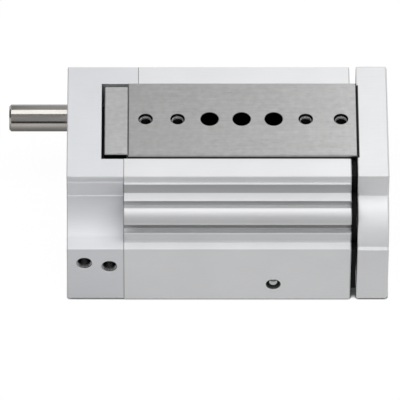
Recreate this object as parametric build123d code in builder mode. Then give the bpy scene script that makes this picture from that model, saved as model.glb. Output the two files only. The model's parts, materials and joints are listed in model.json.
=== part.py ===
from build123d import *
import os
from collections import namedtuple

os.makedirs("parts", exist_ok=True)

# Compact pneumatic slide table: a ground steel table runs on caged balls in the deck of an
# aluminium housing, a cylinder in the housing's side drives it through a yoke plate, and a
# round clamping rod joined to the yoke passes back through the rear cap.
# +X is the working stroke, +Z is up, Y is across. The origin is the middle of the underside
# of the body: half way along it (rear cap and housing together) and half way across it.
# Lengths are in millimetres, and everything is drawn with the table fully back.

# ---- body ------------------------------------------------------------------------------------
BODY_LENGTH = 177.0  # rear face of the cap to front face of the housing
BODY_HEIGHT = 86.0
DECK_WIDTH = 93.0  # the top deck, from the far wall to the near wall
SIDE_REACH = 25.5  # how far the lower block stands out past the near edge of the deck
CAP_LENGTH = 35.5
CAP_BASE_GAP = 0.6  # the cap's underside stays clear of the surface the body is bolted to
FAR_ARM_LENGTH = 44.5  # the cap's far arm runs further forward than the rest of it
CAP_CORNER = 1.5  # round along the lower rear edge of the cap
CAP_SCREW_MARGIN = 9.0  # lower screws, in from the side walls
CAP_SCREW_BASE = 10.0  # lower screws, above the underside
CAP_SCREW_DROP = 6.8  # upper screws, below the deck
EDGE = 0.5  # broken edges of the aluminium parts
JOINT_EDGE = 0.25  # the finer ones where cap and housing meet

# near side of the housing, from the deck downwards
UPPER_WALL = 5.8
STEP_OUT = 1.5
SHOULDER_DROP = 13.9
SHOULDER_REACH = 19.6
SHOULDER_RADIUS = 5.5
LEDGE_HEIGHT = 46.4

# sensor slots: one in the top of the shoulder, one in its outer wall
TOP_SLOT_FROM_DECK = 11.05  # outwards from the near edge of the deck
TOP_SLOT_MOUTH = 6.0
TOP_SLOT_WIDTH = 7.2
SIDE_SLOT_DROP = 13.3  # below the top of the shoulder
SIDE_SLOT_MOUTH = 7.9
SIDE_SLOT_WIDTH = 9.6
SLOT_LIP = 1.3
SLOT_DEPTH = 5.0
SLOT_CORNER = 0.8

# near side of the rear cap
CAP_COVE_TOP = 2.4
CAP_COVE_HEIGHT = 3.8
CAP_COVE_DEPTH = 0.8
SCOOP_DROP = 17.3
SCOOP_LIP = 0.9
SCOOP_REACH = 14.6

# ---- table and its guide ---------------------------------------------------------------------
TABLE_FROM_DECK = 46.5  # centre line of the table, in from the near edge of the deck
TABLE_WIDTH = 61.4
TABLE_PROUD = 2.0
TABLE_FLANGE = 9.0
TABLE_DEPTH = 21.0
TABLE_REAR = 38.2  # rear end of the table, in front of the cap's rear face
TABLE_EDGE = 0.5
GUIDE_DEPTH = 20.5  # of the channel in the deck that the table runs in
GUIDE_SIDE_GAP = 0.5

BALL_DIAMETER = 6.0
BALL_DROP = 15.0  # ball centres, below the top of the table
BALL_OFFSET = 20.0  # ball centres, either side of the table's centre line
BALL_PITCH = 14.0
BALL_COUNT = 6
RACEWAY_CLEARANCE = 0.05
RACEWAY_GAP = 3.2  # between the table's flank and the rail's flank
RAIL_TOP_GAP = 0.8
RAIL_REAR = 46.0
RAIL_FRONT_GAP = 4.0
CAGE_THICKNESS = 1.6
CAGE_HEIGHT = 9.6
CAGE_END = 3.0  # cage past its first and last balls
CAGE_FRONT_GAP = 2.0  # cage to the front end of the rail with the table fully out
CAGE_BALL_CLEARANCE = 0.15

END_BLOCK_LENGTH = 14.8
END_BLOCK_WIDTH = 57.7
END_BLOCK_SINK = 0.9  # its top lies this far below the table's
END_BLOCK_FLANK = 0.8
NOTCH_REAR = 21.5
NOTCH_FAR = 78.3  # both measured in from the near edge of the deck
NOTCH_NEAR = 14.6

# threaded and centring holes along the table, measured back from its front end
TABLE_THREADS = (10.0, 32.0, 112.0, 132.0)
TABLE_CENTRINGS = (52.0, 72.0, 92.0)
CENTRING_DIAMETER = 11.6
CENTRING_DEPTH = 13.0
THREAD_DEPTH = 11.0
TABLE_SCREW_SPACING = 23.0
TABLE_SCREW_DROP = 12.0  # below the top of the table
DOWEL_SPACING = 12.0
DOWEL_DROP = 17.0

# ---- yoke plate ------------------------------------------------------------------------------
FRONT_GAP = 4.0  # housing to yoke with the table fully back
YOKE_THICKNESS = 19.5
YOKE_BASE_GAP = 0.5
YOKE_LEDGE_HEIGHT = 45.6
YOKE_ARC = 22.6
YOKE_EDGE = 1.0
YOKE_PATTERN = 40.0
YOKE_PATTERN_HEIGHT = 36.0
YOKE_CENTRING_DEPTH = 2.6

# ---- cylinder --------------------------------------------------------------------------------
STROKE = 50.0
BORE = 32.0
BORE_FROM_DECK = 3.0  # cylinder axis, in from the near edge of the deck
BORE_HEIGHT = 43.0
PISTON_ROD = 14.0
PISTON_LENGTH = 24.0
PISTON_CLEARANCE = 0.05
PISTON_BOSS = 10.0
CUSHION_LENGTH = 5.0
CUSHION_OUTER = 26.0
CUSHION_INNER = 18.0
CUSHION_WALL = 5.0
END_CLEARANCE = 0.3
BEARING_CAP_LENGTH = 27.0
BEARING_CAP_RECESS = 2.6  # its front face lies this far inside the bore
RETAINING_RING_WIRE = 1.6
RETAINING_RING_OVERSIZE = 2.2
RETAINING_RING_WIDTH = 2.0
RETAINING_RING_EAR = 2.4
ROD_CLEARANCE = 0.03
SPIGOT_CLEARANCE = 0.05
SEAL_SQUARE = 3.2
SEAL_SETBACK = 6.0
BUSH_WALL = 2.0
ROD_SEAL_WALL = 4.0
ROD_SEAL_LENGTH = 6.0
MAGNET_WIDTH = 5.0
MAGNET_DEPTH = 4.0
AIR_CHANNEL = 4.0
REAR_FEED_OFFSET = 6.4  # rear air channel, in from the cylinder axis
MAGNET_CLEARANCE = 0.1
PISTON_SEAL_CLEARANCE = 0.03

# ---- clamping rod ----------------------------------------------------------------------------
CLAMP_ROD = 17.0
CLAMP_ROD_FROM_DECK = 79.6
CLAMP_ROD_DROP = 12.5  # rod axis, below the floor of the guide channel
CLAMP_ROD_TAIL = 37.0  # how far it stands out behind the cap
CLAMP_ROD_NOSE = 1.2
CLAMP_ROD_BORE_GAP = 0.5
CLAMP_SLEEVE_DIAMETER = 21.6
CLAMP_SLEEVE_LENGTH = 26.0
CLAMP_BUSH_DIAMETER = 20.4
CLAMP_BUSH_LENGTH = 18.0
WIPER_DIAMETER = 23.0
WIPER_THICKNESS = 3.0

# ---- front cover -----------------------------------------------------------------------------
COVER_THICKNESS = 3.2
COVER_INSET = 2.0
COVER_BASE = 8.0
COVER_TABLE_GAP = 0.4
COVER_ROD_GAP = 0.4

COVER_SCREW_BITE = 8.0
COVER_SCREW_HEAD = 7.4
COVER_SCREW_MARGIN = 9.0

# ---- ports, plug and mounting holes ----------------------------------------------------------
PORT_THREAD = 9.7
PORT_CHAMFER = 0.45
PORT_DEPTH = 12.0
REAR_PORT = (10.8, 33.2)  # forward of the cap's rear face, height
FRONT_PORT = (26.4, 30.2)
PLUG_PLACE = (128.8, 13.6)
PLUG_BALL = 8.6
PLUG_MOUTH = 9.5
PLUG_SINK = 0.4  # the ball is pressed in until it lies this far under the wall
BASE_SPACING_X = 80.0
BASE_SPACING_Y = 60.0
BASE_CENTRING_DEPTH = 2.6
CHANNEL_FROM_DECK = 16.0  # the long air channel, outwards from the near edge of the deck

# ---- fasteners -------------------------------------------------------------------------------
Screw = namedtuple("Screw", "thread core head_diameter head_height key")
M4 = Screw(4.0, 3.3, 7.0, 4.0, 3.0)
M5 = Screw(5.0, 4.2, 8.5, 5.0, 4.0)
M6 = Screw(6.0, 5.0, 10.0, 6.0, 5.0)
M8 = Screw(8.0, 6.8, 13.0, 8.0, 6.0)
SCREW_CLEARANCE = 0.05
HEAD_CLEARANCE = 0.4
HEAD_SINK = 0.6
HEAD_CHAMFER = 0.4
TIP_CHAMFER = 0.5
THREAD_BITE = 12.0
THREAD_MOUTH = 0.6  # chamfer at the mouth of an open tapped hole
DRILL_RUNOUT = 3.0  # core drilling past the end of the thread
DOWEL = 5.0
DOWEL_LENGTH = 16.0
DOWEL_BITE = 8.0
SPIGOT_DIAMETER = 11.0
SPIGOT_LENGTH = 6.0

# ---- places worked out from the sizes above --------------------------------------------------
far_y = (DECK_WIDTH + SIDE_REACH) / 2
near_y = -far_y
deck_y = far_y - DECK_WIDTH
rear_x = -BODY_LENGTH / 2
front_x = BODY_LENGTH / 2
joint_x = rear_x + CAP_LENGTH
far_joint_x = rear_x + FAR_ARM_LENGTH
yoke_rear_x = front_x + FRONT_GAP
yoke_front_x = yoke_rear_x + YOKE_THICKNESS

step_z = BODY_HEIGHT - UPPER_WALL
shoulder_z = BODY_HEIGHT - SHOULDER_DROP
side_y = deck_y - SHOULDER_REACH
side_slot_z = shoulder_z - SIDE_SLOT_DROP

table_y = deck_y + TABLE_FROM_DECK
table_top = BODY_HEIGHT + TABLE_PROUD
table_base = table_top - TABLE_DEPTH
guide_floor = BODY_HEIGHT - GUIDE_DEPTH
flange_base = table_top - TABLE_FLANGE
table_rear_x = rear_x + TABLE_REAR
ball_z = table_top - BALL_DROP
table_screw_z = table_top - TABLE_SCREW_DROP
dowel_z = table_top - DOWEL_DROP
table_flank = BALL_OFFSET - RACEWAY_GAP / 2
rail_flank = BALL_OFFSET + RACEWAY_GAP / 2
guide_half = TABLE_WIDTH / 2 + GUIDE_SIDE_GAP
raceway_radius = BALL_DIAMETER / 2 + RACEWAY_CLEARANCE
rail_rear_x = rear_x + RAIL_REAR
rail_front_x = front_x - RAIL_FRONT_GAP
rail_top = flange_base - RAIL_TOP_GAP
notch_x = rear_x + NOTCH_REAR
notch_near_y = deck_y + NOTCH_NEAR
notch_far_y = deck_y + NOTCH_FAR

bore_y = deck_y + BORE_FROM_DECK
bore_radius = BORE / 2
bearing_front_x = front_x - BEARING_CAP_RECESS
bearing_rear_x = bearing_front_x - BEARING_CAP_LENGTH
piston_rear_x = bearing_rear_x - CUSHION_LENGTH - STROKE - PISTON_LENGTH - END_CLEARANCE
piston_front_x = piston_rear_x + PISTON_LENGTH
spigot_front_x = piston_rear_x - END_CLEARANCE - CUSHION_LENGTH

clamp_y = deck_y + CLAMP_ROD_FROM_DECK
clamp_z = guide_floor - CLAMP_ROD_DROP
seal_x = spigot_front_x - SEAL_SETBACK
plug_x = rear_x + PLUG_PLACE[0]
base_x = (joint_x + front_x) / 2
channel_y = deck_y - CHANNEL_FROM_DECK
feed_x = bearing_rear_x - CUSHION_LENGTH / 2
rear_feed_y = bore_y + REAR_FEED_OFFSET
cove_top_z = BODY_HEIGHT - CAP_COVE_TOP
scoop_z = BODY_HEIGHT - SCOOP_DROP
top_slot_y = deck_y - TOP_SLOT_FROM_DECK


# ---- planes that holes and screws are set out on ---------------------------------------------
def on_rear(x, y, z):
    """Plane at x that faces backwards."""
    return Plane(origin=(x, y, z), x_dir=(0, 1, 0), z_dir=(-1, 0, 0))


def on_front(x, y, z):
    """Plane at x that faces forwards."""
    return Plane(origin=(x, y, z), x_dir=(0, 1, 0), z_dir=(1, 0, 0))


def on_near_side(x, z):
    """Plane on the near wall of the lower block, facing out."""
    return Plane(origin=(x, near_y, z), x_dir=(1, 0, 0), z_dir=(0, -1, 0))


# ---- shapes used more than once --------------------------------------------------------------
def cap_screw(size, length):
    """Socket-head screw, its seat at the origin and its shank down -Z."""
    with BuildPart() as screw:
        with BuildSketch():
            Circle(size.head_diameter / 2)
        extrude(amount=size.head_height)
        chamfer(screw.edges().group_by(Axis.Z)[-1], length=HEAD_CHAMFER)
        with BuildSketch(Plane.XY.offset(size.head_height)):
            RegularPolygon(size.key / 2, 6, major_radius=False)
        extrude(amount=-size.key / 2, mode=Mode.SUBTRACT)
        with BuildSketch():
            Circle(size.thread / 2)
        extrude(amount=-length)
        chamfer(screw.edges().group_by(Axis.Z)[0], length=TIP_CHAMFER)
    return screw.part


def screw_seat(size, through):
    """What a sunk socket-head screw takes out of the part it holds, from the outer face down."""
    head_depth = size.head_height + HEAD_SINK
    with BuildPart() as seat:
        with BuildSketch():
            Circle(size.head_diameter / 2 + HEAD_CLEARANCE)
        extrude(amount=-head_depth)
        with BuildSketch():
            Circle(size.thread / 2 + SCREW_CLEARANCE)
        extrude(amount=-through)
    return seat.part


def tapped_hole(size, depth):
    """What an open tapped hole takes out: its chamfer, its thread and the deeper core drilling."""
    with BuildPart() as hole:
        with BuildSketch():
            Circle(size.core / 2)
        extrude(amount=-depth - DRILL_RUNOUT)
        with BuildSketch():
            Circle(size.thread / 2)
        extrude(amount=-depth)
        with BuildSketch():
            Circle(size.thread / 2 + THREAD_MOUTH)
        extrude(amount=-THREAD_MOUTH, taper=45)
    return hole.part


def countersunk_screw(size, head, length):
    """Countersunk screw, its flat top at the origin and its shank down -Z."""
    with BuildPart() as screw:
        with BuildSketch():
            Circle(head / 2)
        extrude(amount=-(head - size.thread) / 2, taper=45)
        with BuildSketch():
            Circle(size.thread / 2)
        extrude(amount=-length)
        with BuildSketch():
            RegularPolygon(size.key / 2, 6, major_radius=False)
        extrude(amount=-size.key / 2, mode=Mode.SUBTRACT)
    return screw.part


def ring(outer, inner, thickness):
    """Flat ring on the XY plane, upwards."""
    with BuildPart() as washer:
        with BuildSketch():
            Circle(outer / 2)
            Circle(inner / 2, mode=Mode.SUBTRACT)
        extrude(amount=thickness)
    return washer.part


def disc(diameter, thickness):
    """Solid disc or rod on the XY plane, upwards."""
    with BuildPart() as rod:
        with BuildSketch():
            Circle(diameter / 2)
        extrude(amount=thickness)
    return rod.part


def slot_section(mouth, width):
    """T-slot section, its mouth centred on the origin and its depth down -Y."""
    with BuildSketch() as section:
        with Locations((0, -SLOT_LIP)):
            Rectangle(width, SLOT_DEPTH - SLOT_LIP, align=(Align.CENTER, Align.MAX))
        fillet(section.vertices(), SLOT_CORNER)
        Rectangle(mouth, SLOT_LIP + SLOT_CORNER, align=(Align.CENTER, Align.MAX))
        Rectangle(mouth, EDGE, align=(Align.CENTER, Align.MIN))
    return section.sketch


cap_screw_places = [
    ((notch_far_y + far_y) / 2, BODY_HEIGHT - CAP_SCREW_DROP),
    ((notch_near_y + deck_y) / 2, BODY_HEIGHT - CAP_SCREW_DROP),
    (near_y + CAP_SCREW_MARGIN, CAP_SCREW_BASE),
    (far_y - CAP_SCREW_MARGIN, CAP_SCREW_BASE),
]

# the cage rolls half as far as the table, and its balls stay in both raceways all the way
cage_length = (BALL_COUNT - 1) * BALL_PITCH + BALL_DIAMETER + 2 * CAGE_END
cage_rear_x = rail_front_x - CAGE_FRONT_GAP - STROKE / 2 - cage_length
cage_middle_x = cage_rear_x + cage_length / 2
table_screw_ys = (table_y - TABLE_SCREW_SPACING / 2, table_y + TABLE_SCREW_SPACING / 2)
dowel_ys = (table_y - DOWEL_SPACING / 2, table_y + DOWEL_SPACING / 2)
rod_places = [(bore_y, BORE_HEIGHT), (clamp_y, clamp_z)]
rod_seat = M8.thread + 2 * SCREW_CLEARANCE
piston_margin = (PISTON_LENGTH - MAGNET_WIDTH - 2 * SEAL_SQUARE) / 4
piston_grooves = [
    (piston_rear_x + piston_margin, SEAL_SQUARE, SEAL_SQUARE),
    (piston_rear_x + 2 * piston_margin + SEAL_SQUARE, MAGNET_WIDTH, MAGNET_DEPTH),
    (piston_front_x - piston_margin - SEAL_SQUARE, SEAL_SQUARE, SEAL_SQUARE),
]
cover_screw_places = [
    (near_y + COVER_SCREW_MARGIN, COVER_BASE + COVER_SCREW_MARGIN),
    (far_y - COVER_SCREW_MARGIN, COVER_BASE + COVER_SCREW_MARGIN),
    (table_y, guide_floor - COVER_SCREW_MARGIN),
    ((notch_near_y + deck_y) / 2, BODY_HEIGHT - COVER_SCREW_MARGIN),
]


# ---- housing ---------------------------------------------------------------------------------
with BuildPart() as housing:
    with BuildSketch(Plane.YZ.offset(joint_x)):
        with BuildLine():
            Polyline(
                (far_y, 0),
                (far_y, BODY_HEIGHT),
                (deck_y, BODY_HEIGHT),
                (deck_y, step_z),
                (deck_y - STEP_OUT, step_z),
                (deck_y - STEP_OUT, shoulder_z),
                (side_y + SHOULDER_RADIUS, shoulder_z),
            )
            RadiusArc(
                (side_y + SHOULDER_RADIUS, shoulder_z),
                (side_y, shoulder_z - SHOULDER_RADIUS),
                -SHOULDER_RADIUS,
            )
            Polyline(
                (side_y, shoulder_z - SHOULDER_RADIUS),
                (side_y, LEDGE_HEIGHT),
                (near_y, LEDGE_HEIGHT),
                (near_y, 0),
                (far_y, 0),
            )
        make_face()
        with Locations((table_y, guide_floor)):
            Rectangle(2 * guide_half, GUIDE_DEPTH, align=(Align.CENTER, Align.MIN), mode=Mode.SUBTRACT)
    extrude(amount=front_x - joint_x)
    chamfer(housing.edges().filter_by(Axis.X).group_by(Axis.Z)[-1], length=EDGE)
    chamfer(housing.faces().sort_by(Axis.X)[-1].edges(), length=EDGE)
    chamfer(housing.faces().sort_by(Axis.X)[0].edges(), length=JOINT_EDGE)
    # sensor slots, cylinder and clamping rod passage, from end to end
    with BuildSketch(Plane.YZ.offset(joint_x)):
        with Locations((top_slot_y, shoulder_z)):
            add(slot_section(TOP_SLOT_MOUTH, TOP_SLOT_WIDTH))
        with Locations((side_y, side_slot_z)):
            add(slot_section(SIDE_SLOT_MOUTH, SIDE_SLOT_WIDTH), rotation=90)
        with Locations((bore_y, BORE_HEIGHT)):
            Circle(bore_radius)
        with Locations((clamp_y, clamp_z)):
            Circle(CLAMP_ROD / 2 + CLAMP_ROD_BORE_GAP)
    extrude(amount=front_x - joint_x, mode=Mode.SUBTRACT)
    # seat of the cap's longer far arm
    with BuildSketch(Plane.YZ.offset(joint_x)):
        with Locations((far_y, BODY_HEIGHT)):
            Rectangle(
                far_y - table_y - guide_half, GUIDE_DEPTH, align=(Align.MAX, Align.MAX)
            )
    extrude(amount=far_joint_x - joint_x, mode=Mode.SUBTRACT)
    # seat of the front bush of the clamping rod
    with Locations(on_front(front_x, clamp_y, clamp_z)):
        Hole(CLAMP_BUSH_DIAMETER / 2, depth=CLAMP_BUSH_LENGTH)
    # groove of the ring that holds the bearing cap
    with BuildSketch(Plane.YZ.offset(bearing_front_x)):
        with Locations((bore_y, BORE_HEIGHT)):
            Circle(bore_radius + RETAINING_RING_OVERSIZE / 2)
    extrude(amount=RETAINING_RING_WIRE, mode=Mode.SUBTRACT)
    # tapped seats of the cap's screws
    for y, z in cap_screw_places:
        with Locations(on_rear(far_joint_x if z > guide_floor and y > table_y else joint_x, y, z)):
            Hole(M6.thread / 2 + SCREW_CLEARANCE, depth=THREAD_BITE + END_CLEARANCE)
    # tapped seats of the cover screws
    with Locations(*[on_front(front_x, y, z) for y, z in cover_screw_places]):
        Hole(M4.thread / 2 + SCREW_CLEARANCE, depth=COVER_SCREW_BITE + END_CLEARANCE)
    # plugged cross bore in the near wall
    with Locations(on_near_side(plug_x, PLUG_PLACE[1])):
        CounterSinkHole(
            PLUG_BALL / 2, PLUG_MOUTH / 2, depth=PLUG_SINK + PLUG_BALL, counter_sink_angle=90
        )
    # air channel from the cap to the front end of the cylinder
    with Locations(on_rear(joint_x, channel_y, FRONT_PORT[1])):
        Hole(AIR_CHANNEL / 2, depth=feed_x - joint_x + AIR_CHANNEL / 2)
    with BuildSketch(Plane.XZ.offset(-channel_y)):
        with Locations((feed_x, FRONT_PORT[1])):
            Circle(AIR_CHANNEL / 2)
    extrude(amount=-(bore_y - channel_y - bore_radius / 2), mode=Mode.SUBTRACT)
    # mounting holes in the base
    with Locations(Plane(origin=(base_x, 0, 0), x_dir=(1, 0, 0), z_dir=(0, 0, -1))):
        with GridLocations(BASE_SPACING_X, BASE_SPACING_Y, 2, 2):
            add(tapped_hole(M8, THREAD_DEPTH), mode=Mode.SUBTRACT)
        with GridLocations(BASE_SPACING_X, 0, 2, 1):
            Hole(CENTRING_DIAMETER / 2, depth=BASE_CENTRING_DEPTH)
housing.part.label = "housing"
export_step(housing.part, "parts/housing.step")

# ---- rear cap --------------------------------------------------------------------------------
with BuildPart() as rear_cap:
    with BuildSketch(Plane.YZ.offset(rear_x)):
        with BuildLine():
            Polyline(
                (far_y, CAP_BASE_GAP),
                (far_y, BODY_HEIGHT),
                (deck_y, BODY_HEIGHT),
                (deck_y, cove_top_z),
            )
            ThreePointArc(
                (deck_y, cove_top_z),
                (deck_y + CAP_COVE_DEPTH, cove_top_z - CAP_COVE_HEIGHT / 2),
                (deck_y, cove_top_z - CAP_COVE_HEIGHT),
            )
            Polyline(
                (deck_y, cove_top_z - CAP_COVE_HEIGHT),
                (deck_y, scoop_z),
                (deck_y - SCOOP_LIP, scoop_z),
            )
            TangentArc(
                (deck_y - SCOOP_LIP, scoop_z),
                (deck_y - SCOOP_REACH, LEDGE_HEIGHT),
                tangent=(0, -1),
            )
            Polyline(
                (deck_y - SCOOP_REACH, LEDGE_HEIGHT),
                (near_y, LEDGE_HEIGHT),
                (near_y, CAP_BASE_GAP),
                (far_y, CAP_BASE_GAP),
            )
        make_face()
    extrude(amount=CAP_LENGTH)
    # the far arm, beside the guide
    with BuildSketch(Plane.YZ.offset(joint_x)):
        with Locations((far_y, BODY_HEIGHT)):
            Rectangle(far_y - table_y - guide_half, GUIDE_DEPTH, align=(Align.MAX, Align.MAX))
    extrude(amount=far_joint_x - joint_x)
    chamfer(rear_cap.edges().filter_by(Axis.X).group_by(Axis.Z)[-1], length=EDGE)
    chamfer(rear_cap.faces().sort_by(Axis.X)[-1].edges(), length=JOINT_EDGE)
    front_edges = rear_cap.edges().filter_by_position(Axis.X, joint_x, joint_x)
    chamfer(front_edges.filter_by_position(Axis.Y, near_y, deck_y), length=JOINT_EDGE)
    rear_edges = rear_cap.faces().sort_by(Axis.X)[0].outer_wire().edges().sort_by(Axis.Z)
    chamfer(rear_edges[1:], length=EDGE)
    fillet(rear_cap.edges().filter_by(Axis.Y).group_by(Axis.Z)[0].sort_by(Axis.X)[0], CAP_CORNER)
    # notch that the table's end block backs into
    with BuildSketch(Plane.YZ.offset(notch_x)):
        with Locations(((notch_near_y + notch_far_y) / 2, guide_floor)):
            Rectangle(
                notch_far_y - notch_near_y, GUIDE_DEPTH + EDGE, align=(Align.CENTER, Align.MIN)
            )
    extrude(amount=far_joint_x - notch_x, mode=Mode.SUBTRACT)
    # spigot that closes the cylinder, with its cushion's seat and its seal groove
    with BuildSketch(Plane.YZ.offset(joint_x)):
        with Locations((bore_y, BORE_HEIGHT)):
            Circle(bore_radius - SPIGOT_CLEARANCE)
    extrude(amount=spigot_front_x - joint_x)
    with BuildSketch(Plane.YZ.offset(seal_x)):
        with Locations((bore_y, BORE_HEIGHT)):
            Circle(bore_radius)
            Circle(bore_radius - SEAL_SQUARE, mode=Mode.SUBTRACT)
    extrude(amount=SEAL_SQUARE, mode=Mode.SUBTRACT)
    # clamping rod: wiper seat, passage and clamping sleeve's seat
    with Locations(on_rear(rear_x, clamp_y, clamp_z)):
        CounterBoreHole(
            CLAMP_ROD / 2 + CLAMP_ROD_BORE_GAP, WIPER_DIAMETER / 2, WIPER_THICKNESS, depth=CAP_LENGTH
        )
    with Locations(on_front(joint_x, clamp_y, clamp_z)):
        Hole(CLAMP_SLEEVE_DIAMETER / 2, depth=CLAMP_SLEEVE_LENGTH)
    # screws that hold the cap to the housing
    with Locations(*[on_rear(rear_x, y, z) for y, z in cap_screw_places]):
        add(screw_seat(M6, FAR_ARM_LENGTH), mode=Mode.SUBTRACT)
    # ports in the near wall
    for forward, height in (REAR_PORT, FRONT_PORT):
        with Locations(on_near_side(rear_x + forward, height)):
            CounterSinkHole(
                PORT_THREAD / 2, PORT_THREAD / 2 + PORT_CHAMFER, depth=PORT_DEPTH, counter_sink_angle=90
            )
    # air channels: rear port to the spigot's end face, front port to the housing's channel
    with Locations(on_near_side(rear_x + REAR_PORT[0], REAR_PORT[1])):
        Hole(AIR_CHANNEL / 2, depth=rear_feed_y - near_y + AIR_CHANNEL / 2)
    with Locations(on_front(spigot_front_x, rear_feed_y, REAR_PORT[1])):
        Hole(AIR_CHANNEL / 2, depth=spigot_front_x - rear_x - REAR_PORT[0] + AIR_CHANNEL / 2)
    with Locations(on_front(joint_x, channel_y, FRONT_PORT[1])):
        Hole(AIR_CHANNEL / 2, depth=CAP_LENGTH - FRONT_PORT[0])
rear_cap.part.label = "rear_cap"
export_step(rear_cap.part, "parts/rear_cap.step")

# ---- small parts of the fixed side -----------------------------------------------------------
with BuildPart() as cap_screws:
    for y, z in cap_screw_places:
        reach = far_joint_x if z > guide_floor and y > table_y else joint_x
        head_x = rear_x + M6.head_height + HEAD_SINK
        with Locations(on_rear(head_x, y, z)):
            add(cap_screw(M6, reach - head_x + THREAD_BITE))
cap_screws.part.label = "cap_screws"
export_step(cap_screws.part, "parts/cap_screws.step")

with BuildPart() as spigot_seal:
    with Locations(on_front(seal_x, bore_y, BORE_HEIGHT)):
        add(ring(BORE, BORE - 2 * SEAL_SQUARE, SEAL_SQUARE))
spigot_seal.part.label = "spigot_seal"
export_step(spigot_seal.part, "parts/spigot_seal.step")

with BuildPart() as rear_cushion:
    with Locations(on_front(spigot_front_x, bore_y, BORE_HEIGHT)):
        add(ring(CUSHION_INNER, CUSHION_INNER - 2 * CUSHION_WALL, CUSHION_LENGTH))
rear_cushion.part.label = "rear_cushion"
export_step(rear_cushion.part, "parts/rear_cushion.step")

with BuildPart() as front_cushion:
    with Locations(on_front(bearing_rear_x - CUSHION_LENGTH, bore_y, BORE_HEIGHT)):
        add(ring(CUSHION_OUTER, CUSHION_OUTER - 2 * CUSHION_WALL, CUSHION_LENGTH))
front_cushion.part.label = "front_cushion"
export_step(front_cushion.part, "parts/front_cushion.step")

with BuildPart() as bearing_cap:
    with BuildSketch(Plane.YZ.offset(bearing_rear_x)):
        with Locations((bore_y, BORE_HEIGHT)):
            Circle(bore_radius - SPIGOT_CLEARANCE)
            Circle(PISTON_ROD / 2 + BUSH_WALL, mode=Mode.SUBTRACT)
    extrude(amount=BEARING_CAP_LENGTH)
    # seat of the rod seal, from the front
    with Locations(on_front(bearing_front_x, bore_y, BORE_HEIGHT)):
        Hole(PISTON_ROD / 2 + ROD_SEAL_WALL, depth=ROD_SEAL_LENGTH)
    with BuildSketch(Plane.YZ.offset(bearing_rear_x + SEAL_SQUARE)):
        with Locations((bore_y, BORE_HEIGHT)):
            Circle(bore_radius)
            Circle(bore_radius - SEAL_SQUARE, mode=Mode.SUBTRACT)
    extrude(amount=SEAL_SQUARE, mode=Mode.SUBTRACT)
bearing_cap.part.label = "bearing_cap"
export_step(bearing_cap.part, "parts/bearing_cap.step")

with BuildPart() as bearing_cap_seal:
    with Locations(on_front(bearing_rear_x + SEAL_SQUARE, bore_y, BORE_HEIGHT)):
        add(ring(BORE, BORE - 2 * SEAL_SQUARE, SEAL_SQUARE))
bearing_cap_seal.part.label = "bearing_cap_seal"
export_step(bearing_cap_seal.part, "parts/bearing_cap_seal.step")

with BuildPart() as rod_bush:
    with Locations(on_front(bearing_rear_x, bore_y, BORE_HEIGHT)):
        add(
            ring(
                PISTON_ROD + 2 * BUSH_WALL,
                PISTON_ROD + 2 * ROD_CLEARANCE,
                BEARING_CAP_LENGTH - ROD_SEAL_LENGTH,
            )
        )
rod_bush.part.label = "rod_bush"
export_step(rod_bush.part, "parts/rod_bush.step")

with BuildPart() as rod_seal:
    with Locations(on_front(bearing_front_x - ROD_SEAL_LENGTH, bore_y, BORE_HEIGHT)):
        add(ring(PISTON_ROD + 2 * ROD_SEAL_WALL, PISTON_ROD + 2 * ROD_CLEARANCE, ROD_SEAL_LENGTH))
rod_seal.part.label = "rod_seal"
export_step(rod_seal.part, "parts/rod_seal.step")

with BuildPart() as retaining_ring:
    # open ring, sprung into its groove, with an ear at each side of the gap
    with BuildSketch(Plane.YZ.offset(bearing_front_x)):
        with Locations((bore_y, BORE_HEIGHT)):
            Circle(bore_radius + RETAINING_RING_OVERSIZE / 2)
            Circle(bore_radius - RETAINING_RING_WIDTH, mode=Mode.SUBTRACT)
        with Locations((bore_y, BORE_HEIGHT)):
            with Locations((-RETAINING_RING_EAR, -bore_radius + RETAINING_RING_EAR)):
                Circle(RETAINING_RING_EAR)
            with Locations((RETAINING_RING_EAR, -bore_radius + RETAINING_RING_EAR)):
                Circle(RETAINING_RING_EAR)
            with Locations((0, -bore_radius)):
                Rectangle(
                    RETAINING_RING_EAR,
                    3 * RETAINING_RING_EAR,
                    align=(Align.CENTER, Align.CENTER),
                    mode=Mode.SUBTRACT,
                )
    extrude(amount=RETAINING_RING_WIRE)
retaining_ring.part.label = "retaining_ring"
export_step(retaining_ring.part, "parts/retaining_ring.step")

with BuildPart() as clamping_sleeve:
    with Locations(on_front(joint_x - CLAMP_SLEEVE_LENGTH, clamp_y, clamp_z)):
        add(ring(CLAMP_SLEEVE_DIAMETER, CLAMP_ROD + 2 * ROD_CLEARANCE, CLAMP_SLEEVE_LENGTH))
clamping_sleeve.part.label = "clamping_sleeve"
export_step(clamping_sleeve.part, "parts/clamping_sleeve.step")

with BuildPart() as clamping_rod_wiper:
    with Locations(on_front(rear_x, clamp_y, clamp_z)):
        add(ring(WIPER_DIAMETER, CLAMP_ROD + 2 * ROD_CLEARANCE, WIPER_THICKNESS))
clamping_rod_wiper.part.label = "clamping_rod_wiper"
export_step(clamping_rod_wiper.part, "parts/clamping_rod_wiper.step")

with BuildPart() as clamping_rod_bush:
    with Locations(on_front(front_x - CLAMP_BUSH_LENGTH, clamp_y, clamp_z)):
        add(ring(CLAMP_BUSH_DIAMETER, CLAMP_ROD + 2 * ROD_CLEARANCE, CLAMP_BUSH_LENGTH))
clamping_rod_bush.part.label = "clamping_rod_bush"
export_step(clamping_rod_bush.part, "parts/clamping_rod_bush.step")

with BuildPart() as bore_plug:
    # ball pressed in just under the wall
    with Locations((plug_x, near_y + PLUG_SINK + PLUG_BALL / 2, PLUG_PLACE[1])):
        Sphere(PLUG_BALL / 2)
bore_plug.part.label = "bore_plug"
export_step(bore_plug.part, "parts/bore_plug.step")

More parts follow.
